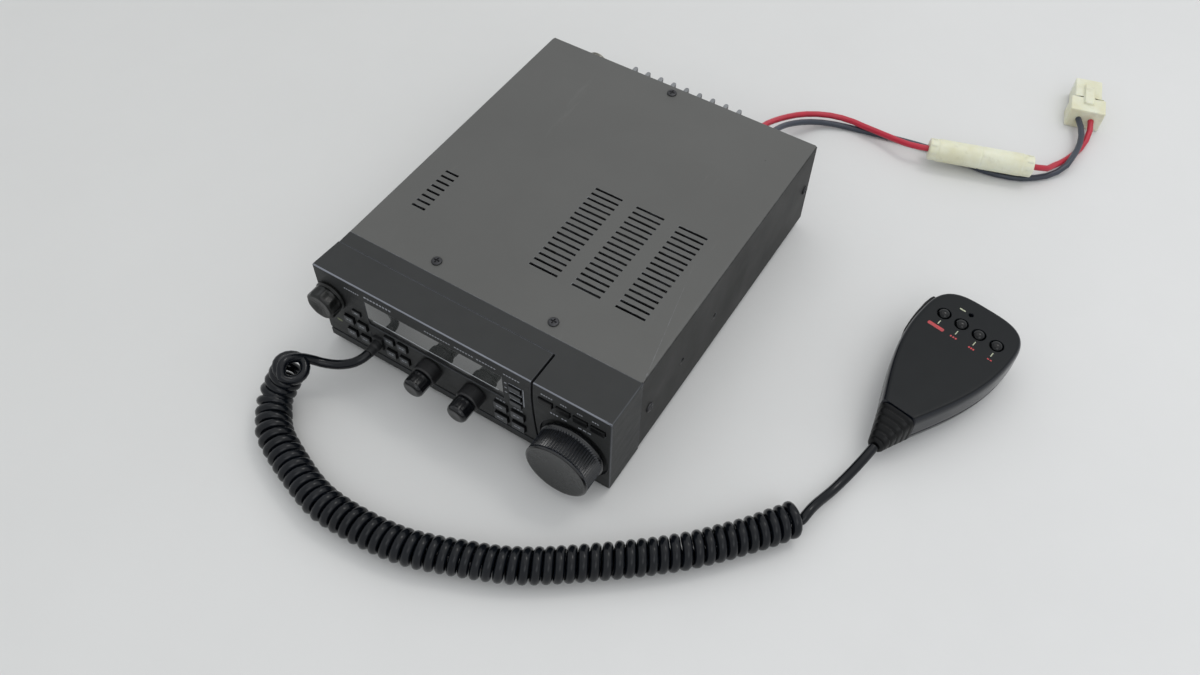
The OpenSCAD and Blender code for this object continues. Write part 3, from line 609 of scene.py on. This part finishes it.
LEAD_D = 3.8 * MM
HOLDER_CENTRE = middle("fuse_holder")
HOLDER_TURN = radians(18)
HOLDER_L = 65 * MM
HOLDER_AXIS = Vector((cos(HOLDER_TURN), sin(HOLDER_TURN), 0))
PLUG_PLACE = Vector((211, 291, 0)) * MM
PLUG_TURN = radians(15)
PLUG_ENTRY_Z = 7.5 * MM
PLUG_ENTRY_SIDE = 4 * MM
RED_ROUTE = [
    (43, 110, 28), (43, 122, 28), (42, 136, 27), (41, 150, 24.5), (42, 163, 19.5),
    (45, 176, 14.5), (50, 188, 10.5), (57, 197, 8), (67, 203.5, 6.8), (79, 206.8, 6.2),
    (91, 206.5, 6.2), (103, 205.5, 7), (113, 203.5, 8.5), (121, 201.5, 10.4), (128, 201.9, 11.2)]
RED_ROUTE_END = [
    (200.5, 226.2, 11), (204.5, 230.5, 8.8), (208, 240, 6.5), (211, 249, 3.2), (213.8, 258, 2.2),
    (216.3, 266, 2), (217.8, 275, 3), (217.2, 284, 6)]
BLACK_ROUTE = [
    (48.5, 110, 28), (48.5, 122, 28), (48.5, 136, 26.5), (48, 150, 23), (48.5, 163, 18),
    (51, 175, 13), (56, 187, 8), (65, 197, 4.5), (77, 203.5, 2.5), (90, 207, 2),
    (116, 212.5, 2), (142, 216, 2), (168, 214.5, 2), (181, 216.5, 2), (193, 221, 2),
    (203.5, 229, 2.2), (210, 236.5, 3), (214.2, 244.5, 5.2), (215.2, 254, 6.6), (215.6, 263, 6.6),
    (214.6, 272, 6.8), (212, 281, 7.3)]


def at_entry(side):
    """Point on the plug's entry face, at a distance from its centre."""
    across = Vector((cos(PLUG_TURN), sin(PLUG_TURN), 0))
    return PLUG_PLACE + across * side + Vector((0, 0, PLUG_ENTRY_Z))


def power_lead(name, route, material):
    points = spaced(smooth_route(route, 16), 40)
    lead = curve_piece(name, points, LEAD_D, material, "radio")
    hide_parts(name)
    return lead, points


CURLY, CURLY_POINTS = curly_cord()
RED_POINTS = [Vector(p) * MM for p in RED_ROUTE]
RED_POINTS += [HOLDER_CENTRE + HOLDER_AXIS * (s * HOLDER_L / 2) for s in (-1, -0.33, 0.33, 1)]
RED_POINTS += [Vector(p) * MM for p in RED_ROUTE_END] + [at_entry(PLUG_ENTRY_SIDE)]
BLACK_POINTS = [Vector(p) * MM for p in BLACK_ROUTE] + [at_entry(-PLUG_ENTRY_SIDE)]
RED_LEAD, RED_POINTS = power_lead("red_lead", RED_POINTS, RED)
BLACK_LEAD, BLACK_POINTS = power_lead("black_lead", BLACK_POINTS, BLACK)


# ---- Covers, bezel and head ----

# The charcoal, then its two painted edge highlights.
MOULDING = [CHARCOAL, CHARCOAL_EDGE_HIGHLIGHT, SIDE_EDGE_HIGHLIGHT]
FRONT_ROUND = 0.7 * MM
EDGE_BAND = FRONT_ROUND + 0.02 * MM
SIDE_BAND = 0.6 * MM


def covers():
    cad_piece("top_cover", "radio", [CASE], 0.22 * MM, rounds=[
        (lambda c, e: near(c.z, Z_TOP) and near(abs(c.x), X_SIDE), 1.0 * MM, 4)])
    cad_piece("bottom_cover", "radio", [CASE], 0.2 * MM)
    keep_cad("chassis_frame", STEEL)
    cad_piece("cover_screws", "radio", [SCREW], 0.12 * MM, 1)


def bezel():
    cad_piece("front_bezel", "radio", MOULDING, 0.3 * MM, rounds=[
        (lambda c, e: near(c.y, Y_FRONT) and (near(c.z, Z_TOP) or near(c.x, X_SIDE)), FRONT_ROUND, 4),
        (lambda c, e: near(c.z, Z_TOP) and near(abs(c.x), X_SIDE), 0.8 * MM, 4)],
        only=lambda c, e: not near(c.y, Y_COVER), paint=paint_edge_highlights)


HEAD_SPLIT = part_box("head_front")[1][1]


def paint_edge_highlights(face):
    """1 on the edge between the top and the front, which gets a pale painted highlight, 2 on the right
    corner's edges, which get a fainter painted highlight, 0 elsewhere.
    """
    centre = face.calc_center_median()
    high = centre.z > Z_TOP - EDGE_BAND
    ahead = centre.y < Y_FRONT + EDGE_BAND
    beside = centre.x > X_SIDE - SIDE_BAND and abs(face.normal.x) < 0.97
    if high and ahead and abs(face.normal.y) < 0.95 and face.normal.z < 0.98:
        return 1
    return 2 if beside and (high or ahead) else 0


def head():
    """Both halves of the head's case are shown as one moulding, with no line where they meet."""
    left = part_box("head_front")[0][0]
    halves = []
    for bm in (cad_mesh("head_front"), cad_mesh("head_rear")):
        mesh = bpy.data.meshes.new("half")
        bm.to_mesh(mesh)
        bm.free()
        halves.append(mesh)
    whole = link("head_case", halves[0])
    change_shape(whole, halves[1], "UNION")
    bm = bmesh.new()
    bm.from_mesh(whole.data)
    bpy.data.objects.remove(whole)
    bmesh.ops.remove_doubles(bm, verts=bm.verts, dist=2e-6)
    bmesh.ops.dissolve_limit(bm, angle_limit=radians(0.6), verts=bm.verts, edges=bm.edges)
    back_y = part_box("head_rear")[1][1]
    round_edges(bm, FRONT_ROUND, 4, lambda c, e: near(c.y, Y_FRONT) and (near(c.z, Z_TOP) or near(c.x, left)))
    round_edges(bm, FRONT_ROUND, 4, lambda c, e: near(c.z, Z_TOP) and near(c.x, left, 1.3 * MM))
    round_edges(bm, 0.25 * MM, 2, lambda c, e: abs(c.y - HEAD_SPLIT) > 1 * MM and not near(c.y, back_y))
    for face in bm.faces:
        face.material_index = paint_edge_highlights(face)
    piece("head_case_looks", bm, "head", MOULDING, ("head_front", "head_rear"))


WINDOW_FOOT_TOP = 39.9
CREASE_LINE = (-15.8, 39.8, 80, 0.6, 0)


def window():
    """Smoked window, darker below its crease, with the pale line of light that lies on the crease."""
    cad_piece("display_window", "head", [WINDOW, WINDOW_FOOT], 0.2 * MM,
              paint=lambda face: 1 if face.calc_center_median().z < WINDOW_FOOT_TOP * MM else 0)
    plane = front_plane(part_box("display_window")[0][1])
    flat_marks("window_crease", "head", [CREASE], [CREASE_LINE], plane)


# ---- Keys ----

def bar(bm, matrix, x, y, w, h, index, lift=0.04 * MM):
    """Thin printed bar with rounded corners, in mm on the matrix's XY plane."""
    corners = []
    r = min(w, h) * 0.3
    for sx, sy, first in ((1, 1, 0), (-1, 1, 90), (-1, -1, 180), (1, -1, 270)):
        for i in range(4):
            a = radians(first + 30 * i)
            corners.append((x + sx * (w / 2 - r) + r * cos(a), y + sy * (h / 2 - r) + r * sin(a)))
    rings = [[matrix @ Vector((cx * MM, cy * MM, z)) for cx, cy in corners] for z in (-lift, lift)]
    ring_strip(bm, rings, material=index)


def front_plane(y):
    """Matrix of a plane that faces the front: X to the right, Y up, Z outwards."""
    return Matrix.Translation((0, y, 0)) @ Matrix.Rotation(pi / 2, 4, "X")


def key_piece(node, face_material, legends):
    """Key whose forward face is painted paler than its sides, a painted highlight on the face and painted
    shade on the sides, with small printed legends, given as (x, y, width, height) from its centre.
    """
    bm = cad_mesh(node)
    round_edges(bm, 0.35 * MM, 3)
    for face in bm.faces:
        # Forward faces take the face material as a painted highlight; the other faces keep the dark key
        # colour as painted shade.
        face.material_index = 1 if face.normal.y < -0.85 else 0
    centre = middle(node) / MM
    plane = front_plane(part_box(node)[0][1])
    for x, y, w, h in legends:
        bar(bm, plane, centre.x + x, centre.z + y, w, h, 2)
    piece(node + "_looks", bm, node, [KEY, face_material, PRINT], (node,))


def keys():
    for i in range(1, 9):
        key_piece(f"keypad_key_{i}", KEY_LIT_FACE, [(-0.9, 0.3, 1.3, 0.9), (0.9, 0.3, 1.3, 0.9)])
    for i in range(1, 5):
        key_piece(f"scan_key_{i}", KEY_LIT_FACE, [(-1.5, 0.2, 1.6, 0.8), (0.6, 0.2, 1.6, 0.8)])
    for i in range(1, 4):
        key_piece(f"side_key_{i}", KEY_LIT_FACE, [])
    key_piece("mode_key", KEY_LIT_FACE, [(0, 0.1, 2.2, 0.7)])
    for i in range(1, 5):
        key_piece(f"function_button_{i}", KEY, [])


# ---- Knobs ----

def ribs(count, depth, low, high, fade=0.6 * MM):
    """Grooves round a knob between two places along it, fading out at both ends."""
    def ripple(along, angle):
        inside = min(1, max(0, (along - low) / fade)) * min(1, max(0, (high - along) / fade))
        wave = 0.5 - 0.5 * cos(count * angle)
        return -depth * inside * wave ** 0.7
    return ripple


def knob(node, profile, steps, ripple, face_r=0.0, side=KNOB):
    """Turned knob that faces -Y. Its profile is (distance in front of the panel, radius) in mm.

    What lies within face_r, a radius in mm, has the paler face material.
    """
    centre = middle(node)
    matrix = looking((0, -1, 0), Vector((centre.x, Y_FRONT, centre.z)))
    bm = bmesh.new()
    add_turned(bm, profile, steps, matrix, ripple=ripple)
    for face in bm.faces:
        spot = face.calc_center_median()
        radial = hypot(spot.x - centre.x, spot.z - centre.z)
        face.material_index = 1 if radial < face_r * MM and spot.y < Y_FRONT - 6 * MM else 0
    piece(node + "_looks", bm, node, [side, KNOB_FACE], (node,), 50)


def evenly(profile, step):
    """Profile with extra points, so that ripples along it stay smooth."""
    out = [profile[0]]
    for (a, r), (b, q) in zip(profile, profile[1:]):
        count = max(1, round(hypot(b - a, q - r) / step))
        out += [(a + (b - a) * i / count, r + (q - r) * i / count) for i in range(1, count + 1)]
    return out


DIAL_RIBS = 72
DIAL_LENGTH = 16.5
DIAL_DISH = 0.9
DIAL_FACE_R = 16.4


def main_dial():
    """Shaft, flange, ribbed side, rounded rim and a shallow dish for the face."""
    profile = evenly(rounded([(-6.6, 3), (0.6, 3), (0.6, 18.5), (2.2, 18.6), (2.8, 17.9)], 0.4, 3), 1.5)
    profile += evenly([(3.0, 17.9), (15.2, 17.9)], 0.6)
    profile += rounded([(15.3, 18.0), (15.8, 18.0), (DIAL_LENGTH, 17.1), (DIAL_LENGTH, DIAL_FACE_R)], 0.3, 5)
    for r in (15.4, 14, 12, 10, 8, 6, 4, 2, 0.4):
        profile.append((DIAL_LENGTH - DIAL_DISH * (1 - (r / 16.2) ** 2), r))
    knob("main_dial", profile, DIAL_RIBS * 8, ribs(DIAL_RIBS, 0.6 * MM, 2.8 * MM, 15.6 * MM), DIAL_FACE_R)


CHANNEL_FLUTES = 9


def channel_knob():
    profile = rounded([(-4.6, 3.2), (0.6, 3.2), (0.6, 9.3), (2.0, 9.4), (2.6, 8.5), (3.2, 8.8)], 0.4, 3)
    profile += evenly([(3.4, 9), (8.4, 9.1)], 0.6)
    profile += rounded([(8.6, 9.1), (9.8, 8.6), (10.5, 7.4), (10.1, 5), (9.5, 2.4), (9.4, 0.3)], 0.9, 4)
    flutes = ribs(CHANNEL_FLUTES, 0.8 * MM, 2.6 * MM, 10.6 * MM, 2.0 * MM)
    knob("channel_knob", profile, CHANNEL_FLUTES * 32, flutes, side=CHANNEL)


RING_RIBS = 40
INNER_FLUTES = 14


def dual_knobs():
    """Two pairs of a matt outer ring and a glossy inner knob."""
    for name in ("volume", "squelch"):
        outer = rounded([(-4.6, 2.15), (-4.6, 3.2), (0.6, 3.2), (0.6, 6.7), (1.4, 6.8)], 0.2, 2)
        outer += evenly([(1.6, 6.8), (7.2, 6.8)], 0.6)
        outer += rounded([(7.4, 6.8), (8.4, 6.5), (8.5, 5), (8.5, 2.15)], 0.5, 4)
        knob(name + "_ring", outer, RING_RIBS * 8, ribs(RING_RIBS, 0.06 * MM, 1.6 * MM, 7.6 * MM), side=RING)
        inner = rounded([(-4.6, 2), (8.9, 2), (8.9, 5.6), (9.6, 5.9)], 0.2, 2)
        inner += evenly([(9.8, 5.9), (15.8, 5.9)], 0.5)
        inner += rounded([(16, 5.9), (17.4, 5.3), (18, 4), (17.9, 1.6), (17.85, 0.2)], 0.7, 5)
        flutes = ribs(INNER_FLUTES, 0.13 * MM, 9.4 * MM, 16.8 * MM, 1.4 * MM)
        knob(name + "_knob", inner, INNER_FLUTES * 20, flutes, side=CAP)


# ---- Rear ----

FLANGE_HALF = 12.5 * MM
FLANGE_CORNER = 2 * MM
FLANGE_T = 2.5 * MM
FLANGE_SCREW = 9 * MM
THREAD_PITCH = 1.06


def flange_ring(centre, y, inset):
    """Square with round corners, drawn inwards by an inset."""
    straight = FLANGE_HALF - FLANGE_CORNER
    round_r = FLANGE_CORNER - inset
    ring = []
    for quarter in range(4):
        for i in range(5):
            a = radians(90 * quarter + 22.5 * i)
            x = straight * (1 if quarter in (0, 3) else -1) + round_r * cos(a)
            z = straight * (1 if quarter in (0, 1) else -1) + round_r * sin(a)
            ring.append((centre.x + x, y, centre.z + z))
    return ring


def antenna_connector():
    """Square flange with four screws, threaded barrel, white insulator and gilt contact.

    The turned shapes are measured back from the barrel's tip.
    """
    centre = middle("antenna_connector")
    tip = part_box("antenna_connector")[1][1]
    flange_y = Y_PANEL + FLANGE_T
    chamfer = 0.3 * MM
    bm = bmesh.new()
    ring_strip(bm, [flange_ring(centre, y, inset)
                    for y, inset in ((Y_PANEL, 0), (flange_y - chamfer, 0), (flange_y, chamfer))])
    base = (flange_y - tip) / MM
    barrel = [(base, 7.9)]
    along = base + 1.2
    while along < -1.6:
        barrel += [(along, 7.35), (along + 0.35, 7.9), (along + 0.7, 7.35)]
        along += THREAD_PITCH
    barrel += [(-0.6, 7.5), (0, 7.0), (0, 6.2), (-0.5, 6.0), (-7, 6.0)]
    insulator = [(-7.2, 6.1), (-7, 5.6), (-7, 2.7)]
    contact = [(-8, 2.6), (-5.2, 2.6), (-5, 2.3), (-5.1, 2.0), (-9, 1.9)]
    matrix = looking((0, 1, 0), Vector((centre.x, tip, centre.z)))
    add_turned(bm, barrel, 48, matrix)
    add_turned(bm, insulator, 48, matrix, material=1)
    add_turned(bm, contact, 32, matrix, material=2)
    screw = [(0, 1.9), (0.5, 1.9), (0.9, 1.5), (1.0, 0.9), (0.5, 0.5)]
    for sx in (-1, 1):
        for sz in (-1, 1):
            spot = Vector((centre.x + sx * FLANGE_SCREW, flange_y, centre.z + sz * FLANGE_SCREW))
            add_turned(bm, screw, 20, looking((0, 1, 0), spot))
    piece("antenna_connector_looks", bm, "radio", [NICKEL, TEFLON, BRASS], ("antenna_connector",))


def rear():
    cad_piece("heat_sink", "radio", [CAST], 0.3 * MM)
    antenna_connector()
    grommet = cad_piece("power_grommet", "radio", [RUBBER], 0.5 * MM, 3,
                        only=lambda c, e: c.y > Y_PANEL + 1.2 * MM)
    cad_piece("speaker_jack", "radio", [PANEL_DARK, NICKEL], 0.2 * MM)
    return grommet


FOOT_INSET = 8 * MM


def feet():
    bm = bmesh.new()
    low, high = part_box("rubber_feet")
    profile = rounded([(0, 3.0), (0.4, 3.2), (0, 4.6), (0, 6.4), (0.9, 7.4), (4.4, 7.9), (4.95, 7.5)], 0.5, 3)
    for x in (low[0] + FOOT_INSET, high[0] - FOOT_INSET):
        for y in (low[1] + FOOT_INSET, high[1] - FOOT_INSET):
            add_turned(bm, profile, 40, Matrix.Translation((x, y, 0)))
    piece("rubber_feet_looks", bm, "radio", [RUBBER], ("rubber_feet",))


# ---- Microphone ----

MIC_TURN = radians(10.2)
MIC_PLACE = Vector((193.6, -21, 0)) * MM
MIC_MATRIX = Matrix.Translation(MIC_PLACE) @ Matrix.Rotation(-MIC_TURN, 4, "Z")
MIC_RELIEF = 17 * MM
MIC_LENGTH = MIC_RELIEF + 90.5 * MM
MIC_HALF = 27.6 * MM
MIC_NECK = 10.2 * MM
MIC_WIDE = MIC_RELIEF + 63 * MM
MIC_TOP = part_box("mic_front_shell")[1][2]
MIC_CORNER = 0.6

# Places on the shell, as on_mic takes them
MIC_BUTTONS = (-16.05, -5.35, 5.35, 16.05)
MIC_BUTTON_Y = 69.8
MIC_HOLE = (-4.7, 78.9)
MIC_STUD = (0, 48)

# Outlines that the two shells are skinned over, as (inset, height) in mm
MIC_FRONT_LAYERS = [
    (1.2, 12.7), (0.5, 13.0), (0.1, 13.5), (0, 15), (0, 22), (0.1, 23.8), (0.35, 25.0),
    (0.8, 25.95), (1.4, 26.6), (2.2, 26.92), (3.2, 27.0)]
MIC_REAR_LAYERS = [
    (6.5, 4.0), (5.2, 4.05), (3.6, 4.5), (2.3, 5.6), (1.3, 7.2), (0.6, 9.4), (0.2, 11.4),
    (0.15, 12.3), (0.6, 12.7), (1.4, 12.75)]


def on_mic(x, y, z=0):
    """Upright matrix at a place on the microphone: x and y in mm from the middle of the shell's cord end."""
    return Matrix.Translation(MIC_MATRIX @ Vector((x * MM, MIC_RELIEF + y * MM, z)))


def mic_outline(inset, z):
    """Outline of the microphone: flared sides and a rounded top, drawn inwards by an inset."""
    start = MIC_RELIEF + min(inset, 0.6 * MM)
    height = MIC_LENGTH - MIC_WIDE - inset
    half = []
    for i in range(18):
        t = i / 18
        width = MIC_NECK + (MIC_HALF - MIC_NECK) * sin(t * pi / 2) - inset
        half.append((max(width, 0.5 * MM), start + (MIC_WIDE - start) * t))
    for i in range(21):
        a = radians(88) * i / 20
        half.append(((MIC_HALF - inset) * cos(a) ** MIC_CORNER, MIC_WIDE + height * sin(a) ** MIC_CORNER))
    outline = half + [(-x, y) for x, y in reversed(half)]
    return [MIC_MATRIX @ Vector((x, y, z)) for x, y in outline]


def button_cutter():
    """Dished pockets round the microphone's buttons, and its sound hole."""
    bm = bmesh.new()
    for x in MIC_BUTTONS:
        pocket = [(-2.2, 3.7), (-0.5, 3.75), (-0.15, 3.9), (1, 4.9)]
        add_turned(bm, pocket, 48, on_mic(x, MIC_BUTTON_Y, MIC_TOP))
    add_turned(bm, [(-3, 1.25), (-0.3, 1.3), (1, 2.6)], 32, on_mic(*MIC_HOLE, MIC_TOP))
    bmesh.ops.recalc_face_normals(bm, faces=bm.faces)
    mesh = bpy.data.meshes.new("cutter")
    bm.to_mesh(mesh)
    bm.free()
    return mesh


def mic_front():
    """Front shell: a matt face with glossy sides, and pockets sunk round the buttons."""
    bm = bmesh.new()
    ring_strip(bm, [mic_outline(i * MM, z * MM) for i, z in MIC_FRONT_LAYERS])
    shell = piece("mic_front_shell_looks", bm, "head", [MIC, MIC_SIDE],
                  ("mic_front_shell",), 50, False)
    change_shape(shell, button_cutter(), "DIFFERENCE")
    for polygon in shell.data.polygons:
        on_side = polygon.normal.z < 0.8 and polygon.center.z < MIC_TOP - 0.5 * MM
        polygon.material_index = 1 if on_side else 0
    shade(shell, 40)


def mic_rear():
    """Rear shell with the round stud that it hangs by."""
    bm = bmesh.new()
    ring_strip(bm, [mic_outline(i * MM, z * MM) for i, z in MIC_REAR_LAYERS])
    stud = rounded([(0, 0.5), (0, 6.2), (0.6, 6.95), (1.5, 6.95), (2.1, 4.5), (4.2, 4.5)], 0.4, 3)
    add_turned(bm, stud, 40, on_mic(*MIC_STUD))
    piece("mic_rear_shell_looks", bm, "head", [MIC_BACK], ("mic_rear_shell",), 50, False)


def mic_controls():
    """Talk bar, and four domed buttons held in by a flange."""
    cad_piece("talk_bar", "talk_bar", [KEY], 0.5 * MM, 3)
    cap = rounded([(-7, 0.3), (-7, 2.6), (-3.6, 2.6), (-3.6, 4.3), (-2.7, 4.3), (-2.7, 3.4), (-0.6, 3.4),
                   (0.25, 3.1), (0.95, 2.5), (1.4, 1.7), (1.65, 0.8), (1.7, 0.15)], 0.5, 3)
    for i, x in enumerate(MIC_BUTTONS, 1):
        node = f"mic_button_{i}"
        bm = bmesh.new()
        add_turned(bm, cap, 40, on_mic(x, MIC_BUTTON_Y, MIC_TOP))
        piece(node + "_looks", bm, node, [MIC_BUTTON], (node,), 50)


RELIEF_STEPS = 96
RELIEF_SIDES = 48
RELIEF_START = 0.3
RELIEF_GROOVES = 5
RELIEF_DENT = 0.75


def signed_power(value, power):
    return abs(value) ** power * (1 if value >= 0 else -1)


def relief_ring(t):
    """Ring of the strain relief. It is round at the cord, where t is 0, and boxy at the shell, at 1."""
    top = 15.2 + 11 * t ** 0.85
    bottom = 6.9 - 1.2 * t
    groove = (0.5 + 0.5 * cos(2 * pi * (RELIEF_GROOVES * t + 0.5))) ** 5 if 0.1 < t < 0.97 else 0
    dent = RELIEF_DENT * groove if t >= 0.05 else 0.6 * (1 - t / 0.05)
    half_w = 4.1 + 6.0 * t - dent
    half_h = (top - bottom) / 2 - dent * 0.8
    power = 2 / (2 + 2.6 * t)
    y = RELIEF_START + (MIC_RELIEF / MM - RELIEF_START) * t
    ring = []
    for k in range(RELIEF_SIDES):
        angle = 2 * pi * k / RELIEF_SIDES
        x = half_w * signed_power(cos(angle), power)
        z = half_h * signed_power(sin(angle), power)
        ring.append(MIC_MATRIX @ (Vector((x, y, (top + bottom) / 2 + z)) * MM))
    return ring


def strain_relief():
    """Flat ribbed wedge that narrows from the shell to a round collar on the cord."""
    bm = bmesh.new()
    ring_strip(bm, [relief_ring(i / RELIEF_STEPS) for i in range(RELIEF_STEPS + 1)])
    return piece("mic_strain_relief_looks", bm, "head", [RELIEF_RUBBER],
                 ("mic_strain_relief",), 60)


JACK_Z = 22 * MM


def mic_plug():
    """Modular plug in the head's jack, with a rubber boot round the cord."""
    low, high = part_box("mic_plug")
    x = (low[0] + high[0]) / 2
    bm = bmesh.new()
    boot = rounded([(-8, 2.9), (-1.2, 3.1), (0.4, 3.2), (4.2, 3.2), (5, 2.9), (9, 2.75)], 0.6, 4)
    matrix = looking((0, -1, 0), Vector((x, Y_FRONT, JACK_Z)))
    add_turned(bm, boot, 36, matrix)
    add_block(bm, (6.2, 7, 8.7), Matrix.Translation((x, Y_FRONT + 2.0 * MM, JACK_Z)))
    round_edges(bm, 0.4 * MM, 2, angle=60)
    return piece("mic_plug_looks", bm, "head", [PANEL_DARK], ("mic_plug",), 50)


# ---- Power lead's pieces ----

HOLDER_RIBS = 8


def fuse_holder():
    """Twist-together tube: two halves with a seam, stepped collars and open ends."""
    half = [(2.05, -32.4), (2.2, -32.5), (5.6, -32.5), (6.8, -31.9), (6.9, -27), (7.2, -26), (7.2, -0.9),
            (7.0, -0.6), (7.0, -0.2)]
    other = [(7.0, 0.2), (7.15, 0.5), (7.2, 2), (7.2, 25), (6.9, 26), (6.8, 31.9), (5.6, 32.5),
             (2.2, 32.5), (2.05, 32.4)]
    profile = rounded([(a, r) for r, a in half + other], 0.35, 3)
    bm = bmesh.new()
    matrix = looking(HOLDER_AXIS, HOLDER_CENTRE)
    add_turned(bm, profile, 48, matrix, closed_ends=False)
    for along in (-29.7 * MM, 29.7 * MM):
        for k in range(HOLDER_RIBS):
            turn = Matrix.Rotation(2 * pi * k / HOLDER_RIBS, 4, "Z")
            add_block(bm, (0.4, 1, 3.2), matrix @ turn @ Matrix.Translation((6.95 * MM, 0, along)))
    return piece("fuse_holder_looks", bm, "radio", [IVORY], ("fuse_holder",), 45)


def power_plug():
    return cad_piece("power_plug", "radio", [IVORY], 0.9 * MM, 4)


# ---- Printed marks and lamps ----

def flat_marks(name, body, materials, marks, matrix):
    """Printed bars on a plane. A mark is (x, y, width, height, material) in mm."""
    bm = bmesh.new()
    for x, y, w, h, index in marks:
        bar(bm, matrix, x, y, w, h, index)
    return piece(name, bm, body, materials, weighted=False)


def dashes(x0, x1, z, pieces, height=0.9, index=0):
    """A row of short dashes, from x0 to x1 in mm."""
    step = (x1 - x0) / pieces
    return [(x0 + step * (i + 0.5), z, step * 0.72, height, index) for i in range(pieces)]


def head_marks():
    """Dashes above the window and by the keys, lines round the side keys, and the mode lamp."""
    marks = []
    for x0, x1, z, pieces, height in (
            (-71.5, -61.5, 57, 7, 0.9), (-58.5, -40.5, 57.9, 9, 1.2), (-20, -3.5, 57, 10, 0.8),
            (-1.5, 10.5, 57.2, 7, 0.8), (12, 24, 57.2, 7, 0.8), (28, 38, 57, 6, 0.8)):
        marks += dashes(x0, x1, z, pieces, height)
    for x in (25, 35.6):
        marks += dashes(x - 3, x + 3, 31.3, 3, 0.7)
    for z in (51.3, 44.8, 38.8):
        marks.append((34.8, z, 7.4, 0.5, 0))
    marks.append((39.6, 44.5, 0.5, 15, 0))
    for z in (50, 46, 42):
        marks += dashes(28, 30, z, 1, 0.7)
    marks.append((-82, 23, 3.4, 1.5, 1))
    flat_marks("head_marks", "head", [PRINT, LAMP], marks, front_plane(Y_FRONT))


def bezel_marks():
    """Dashes by the function buttons."""
    marks = []
    for x0, x1, pieces in ((50, 57, 5), (61, 65, 3), (70.5, 74, 3), (79, 83, 3)):
        marks += dashes(x0, x1, 57.5, pieces)
    for x0, x1, pieces in ((55, 60, 3), (61.5, 65, 2), (71, 79, 3)):
        marks += dashes(x0, x1, 45.5, pieces)
    flat_marks("bezel_marks", "radio", [PRINT], marks, front_plane(Y_FRONT))


def mic_marks():
    """A tick and a red mark below each button, and a short line beside the sound hole."""
    marks = [(x + 1.1, 62.8, 0.55, 3.0, 0) for x in MIC_BUTTONS]
    marks.append((-14.9, 59.2, 9.6, 2.2, 1))
    marks += dashes(-6.2, -1.8, 59, 3, 1.1, 1)
    marks += dashes(5, 8.8, 59, 3, 1.1, 1)
    marks += dashes(16.2, 19.4, 59, 2, 0.7, 1)
    marks.append((-9.9, 78.9, 3.4, 0.8, 0))
    plane = MIC_MATRIX @ Matrix.Translation((0, MIC_RELIEF, MIC_TOP))
    flat_marks("mic_marks", "head", [PRINT_CREAM, PRINT_RED], marks, plane)


covers()
bezel()
head()
window()
keys()
main_dial()
channel_knob()
dual_knobs()
GROMMET = rear()
feet()
mic_front()
mic_rear()
mic_controls()
RELIEF = strain_relief()
MIC_PLUG = mic_plug()
HOLDER = fuse_holder()
POWER_PLUG = power_plug()
head_marks()
bezel_marks()
mic_marks()
keep_cad("main_board", BOARD)
keep_cad("head_board", PANEL_DARK)
keep_cad("mic_board", BOARD)
keep_cad("speaker", PANEL_DARK)
keep_cad("tuning_encoder", STEEL)


# ---- Floor and light ----

FLOOR_HALF = 3


def floor():
    """Plain pale card with faint smudges, and painted light: darker to the left and brighter to the right."""
    s = Shader("floor_card", Specular_IOR_Level=0.25)
    smudge = s.span(s.noise(5, 6, 0.6), 0.35, 0.7)
    base = s.mix(smudge, rgb(216, 216, 215), rgb(210, 210, 209))
    # Painted light: the card's colour runs from darker on the left to brighter on the right.
    across = s.add("SeparateXYZ", Vector=s.place).outputs["X"]
    painted_light_rightward = s.span(across, -0.3, 0.4)
    left = s.mix(0.6, base, rgb(200, 200, 198))
    right = s.mix(0.5, base, rgb(222, 222, 222))
    base = s.mix(painted_light_rightward, left, right)
    s.finish(Base_Color=base, Roughness=s.span(s.noise(40, 3), 0.3, 0.7, 0.6, 0.75),
             Normal=s.bump(s.noise(120, 4), 0.0001))
    bm = bmesh.new()
    bmesh.ops.create_grid(bm, x_segments=2, y_segments=2, size=FLOOR_HALF)
    mesh = bpy.data.meshes.new("floor")
    bm.to_mesh(mesh)
    bm.free()
    mesh.materials.append(s.material)
    link("floor", mesh)


def area_light(name, place, target, size, power, colour):
    light = bpy.data.lights.new(name, "AREA")
    light.shape = "RECTANGLE"
    light.size, light.size_y = size
    light.energy = power
    light.color = colour
    obj = link(name, light)
    back = (Vector(place) - Vector(target)).normalized()
    obj.matrix_world = looking(back, Vector(place))


def lights():
    world = bpy.data.worlds.new("studio")
    world.use_nodes = True
    background = world.node_tree.nodes["Background"]
    background.inputs["Color"].default_value = (0.95, 0.975, 1.0, 1)
    background.inputs["Strength"].default_value = 0.78
    bpy.context.scene.world = world
    area_light("ceiling_light", (0.3, 0.5, 2.4), (0.1, 0, 0), (3.6, 3), 14, (1, 0.985, 0.96))
    area_light("lamp", (0.5, 1.0, 2.2), (0, 0, 0), (0.8, 0.4), 6, (1, 0.98, 0.95))
    area_light("window_light", (1.2, -1.1, 1.5), (0, 0, 0), (1.2, 1.2), 5, (0.96, 0.98, 1))


floor()
lights()
bpy.context.scene.view_settings.view_transform = "Standard"
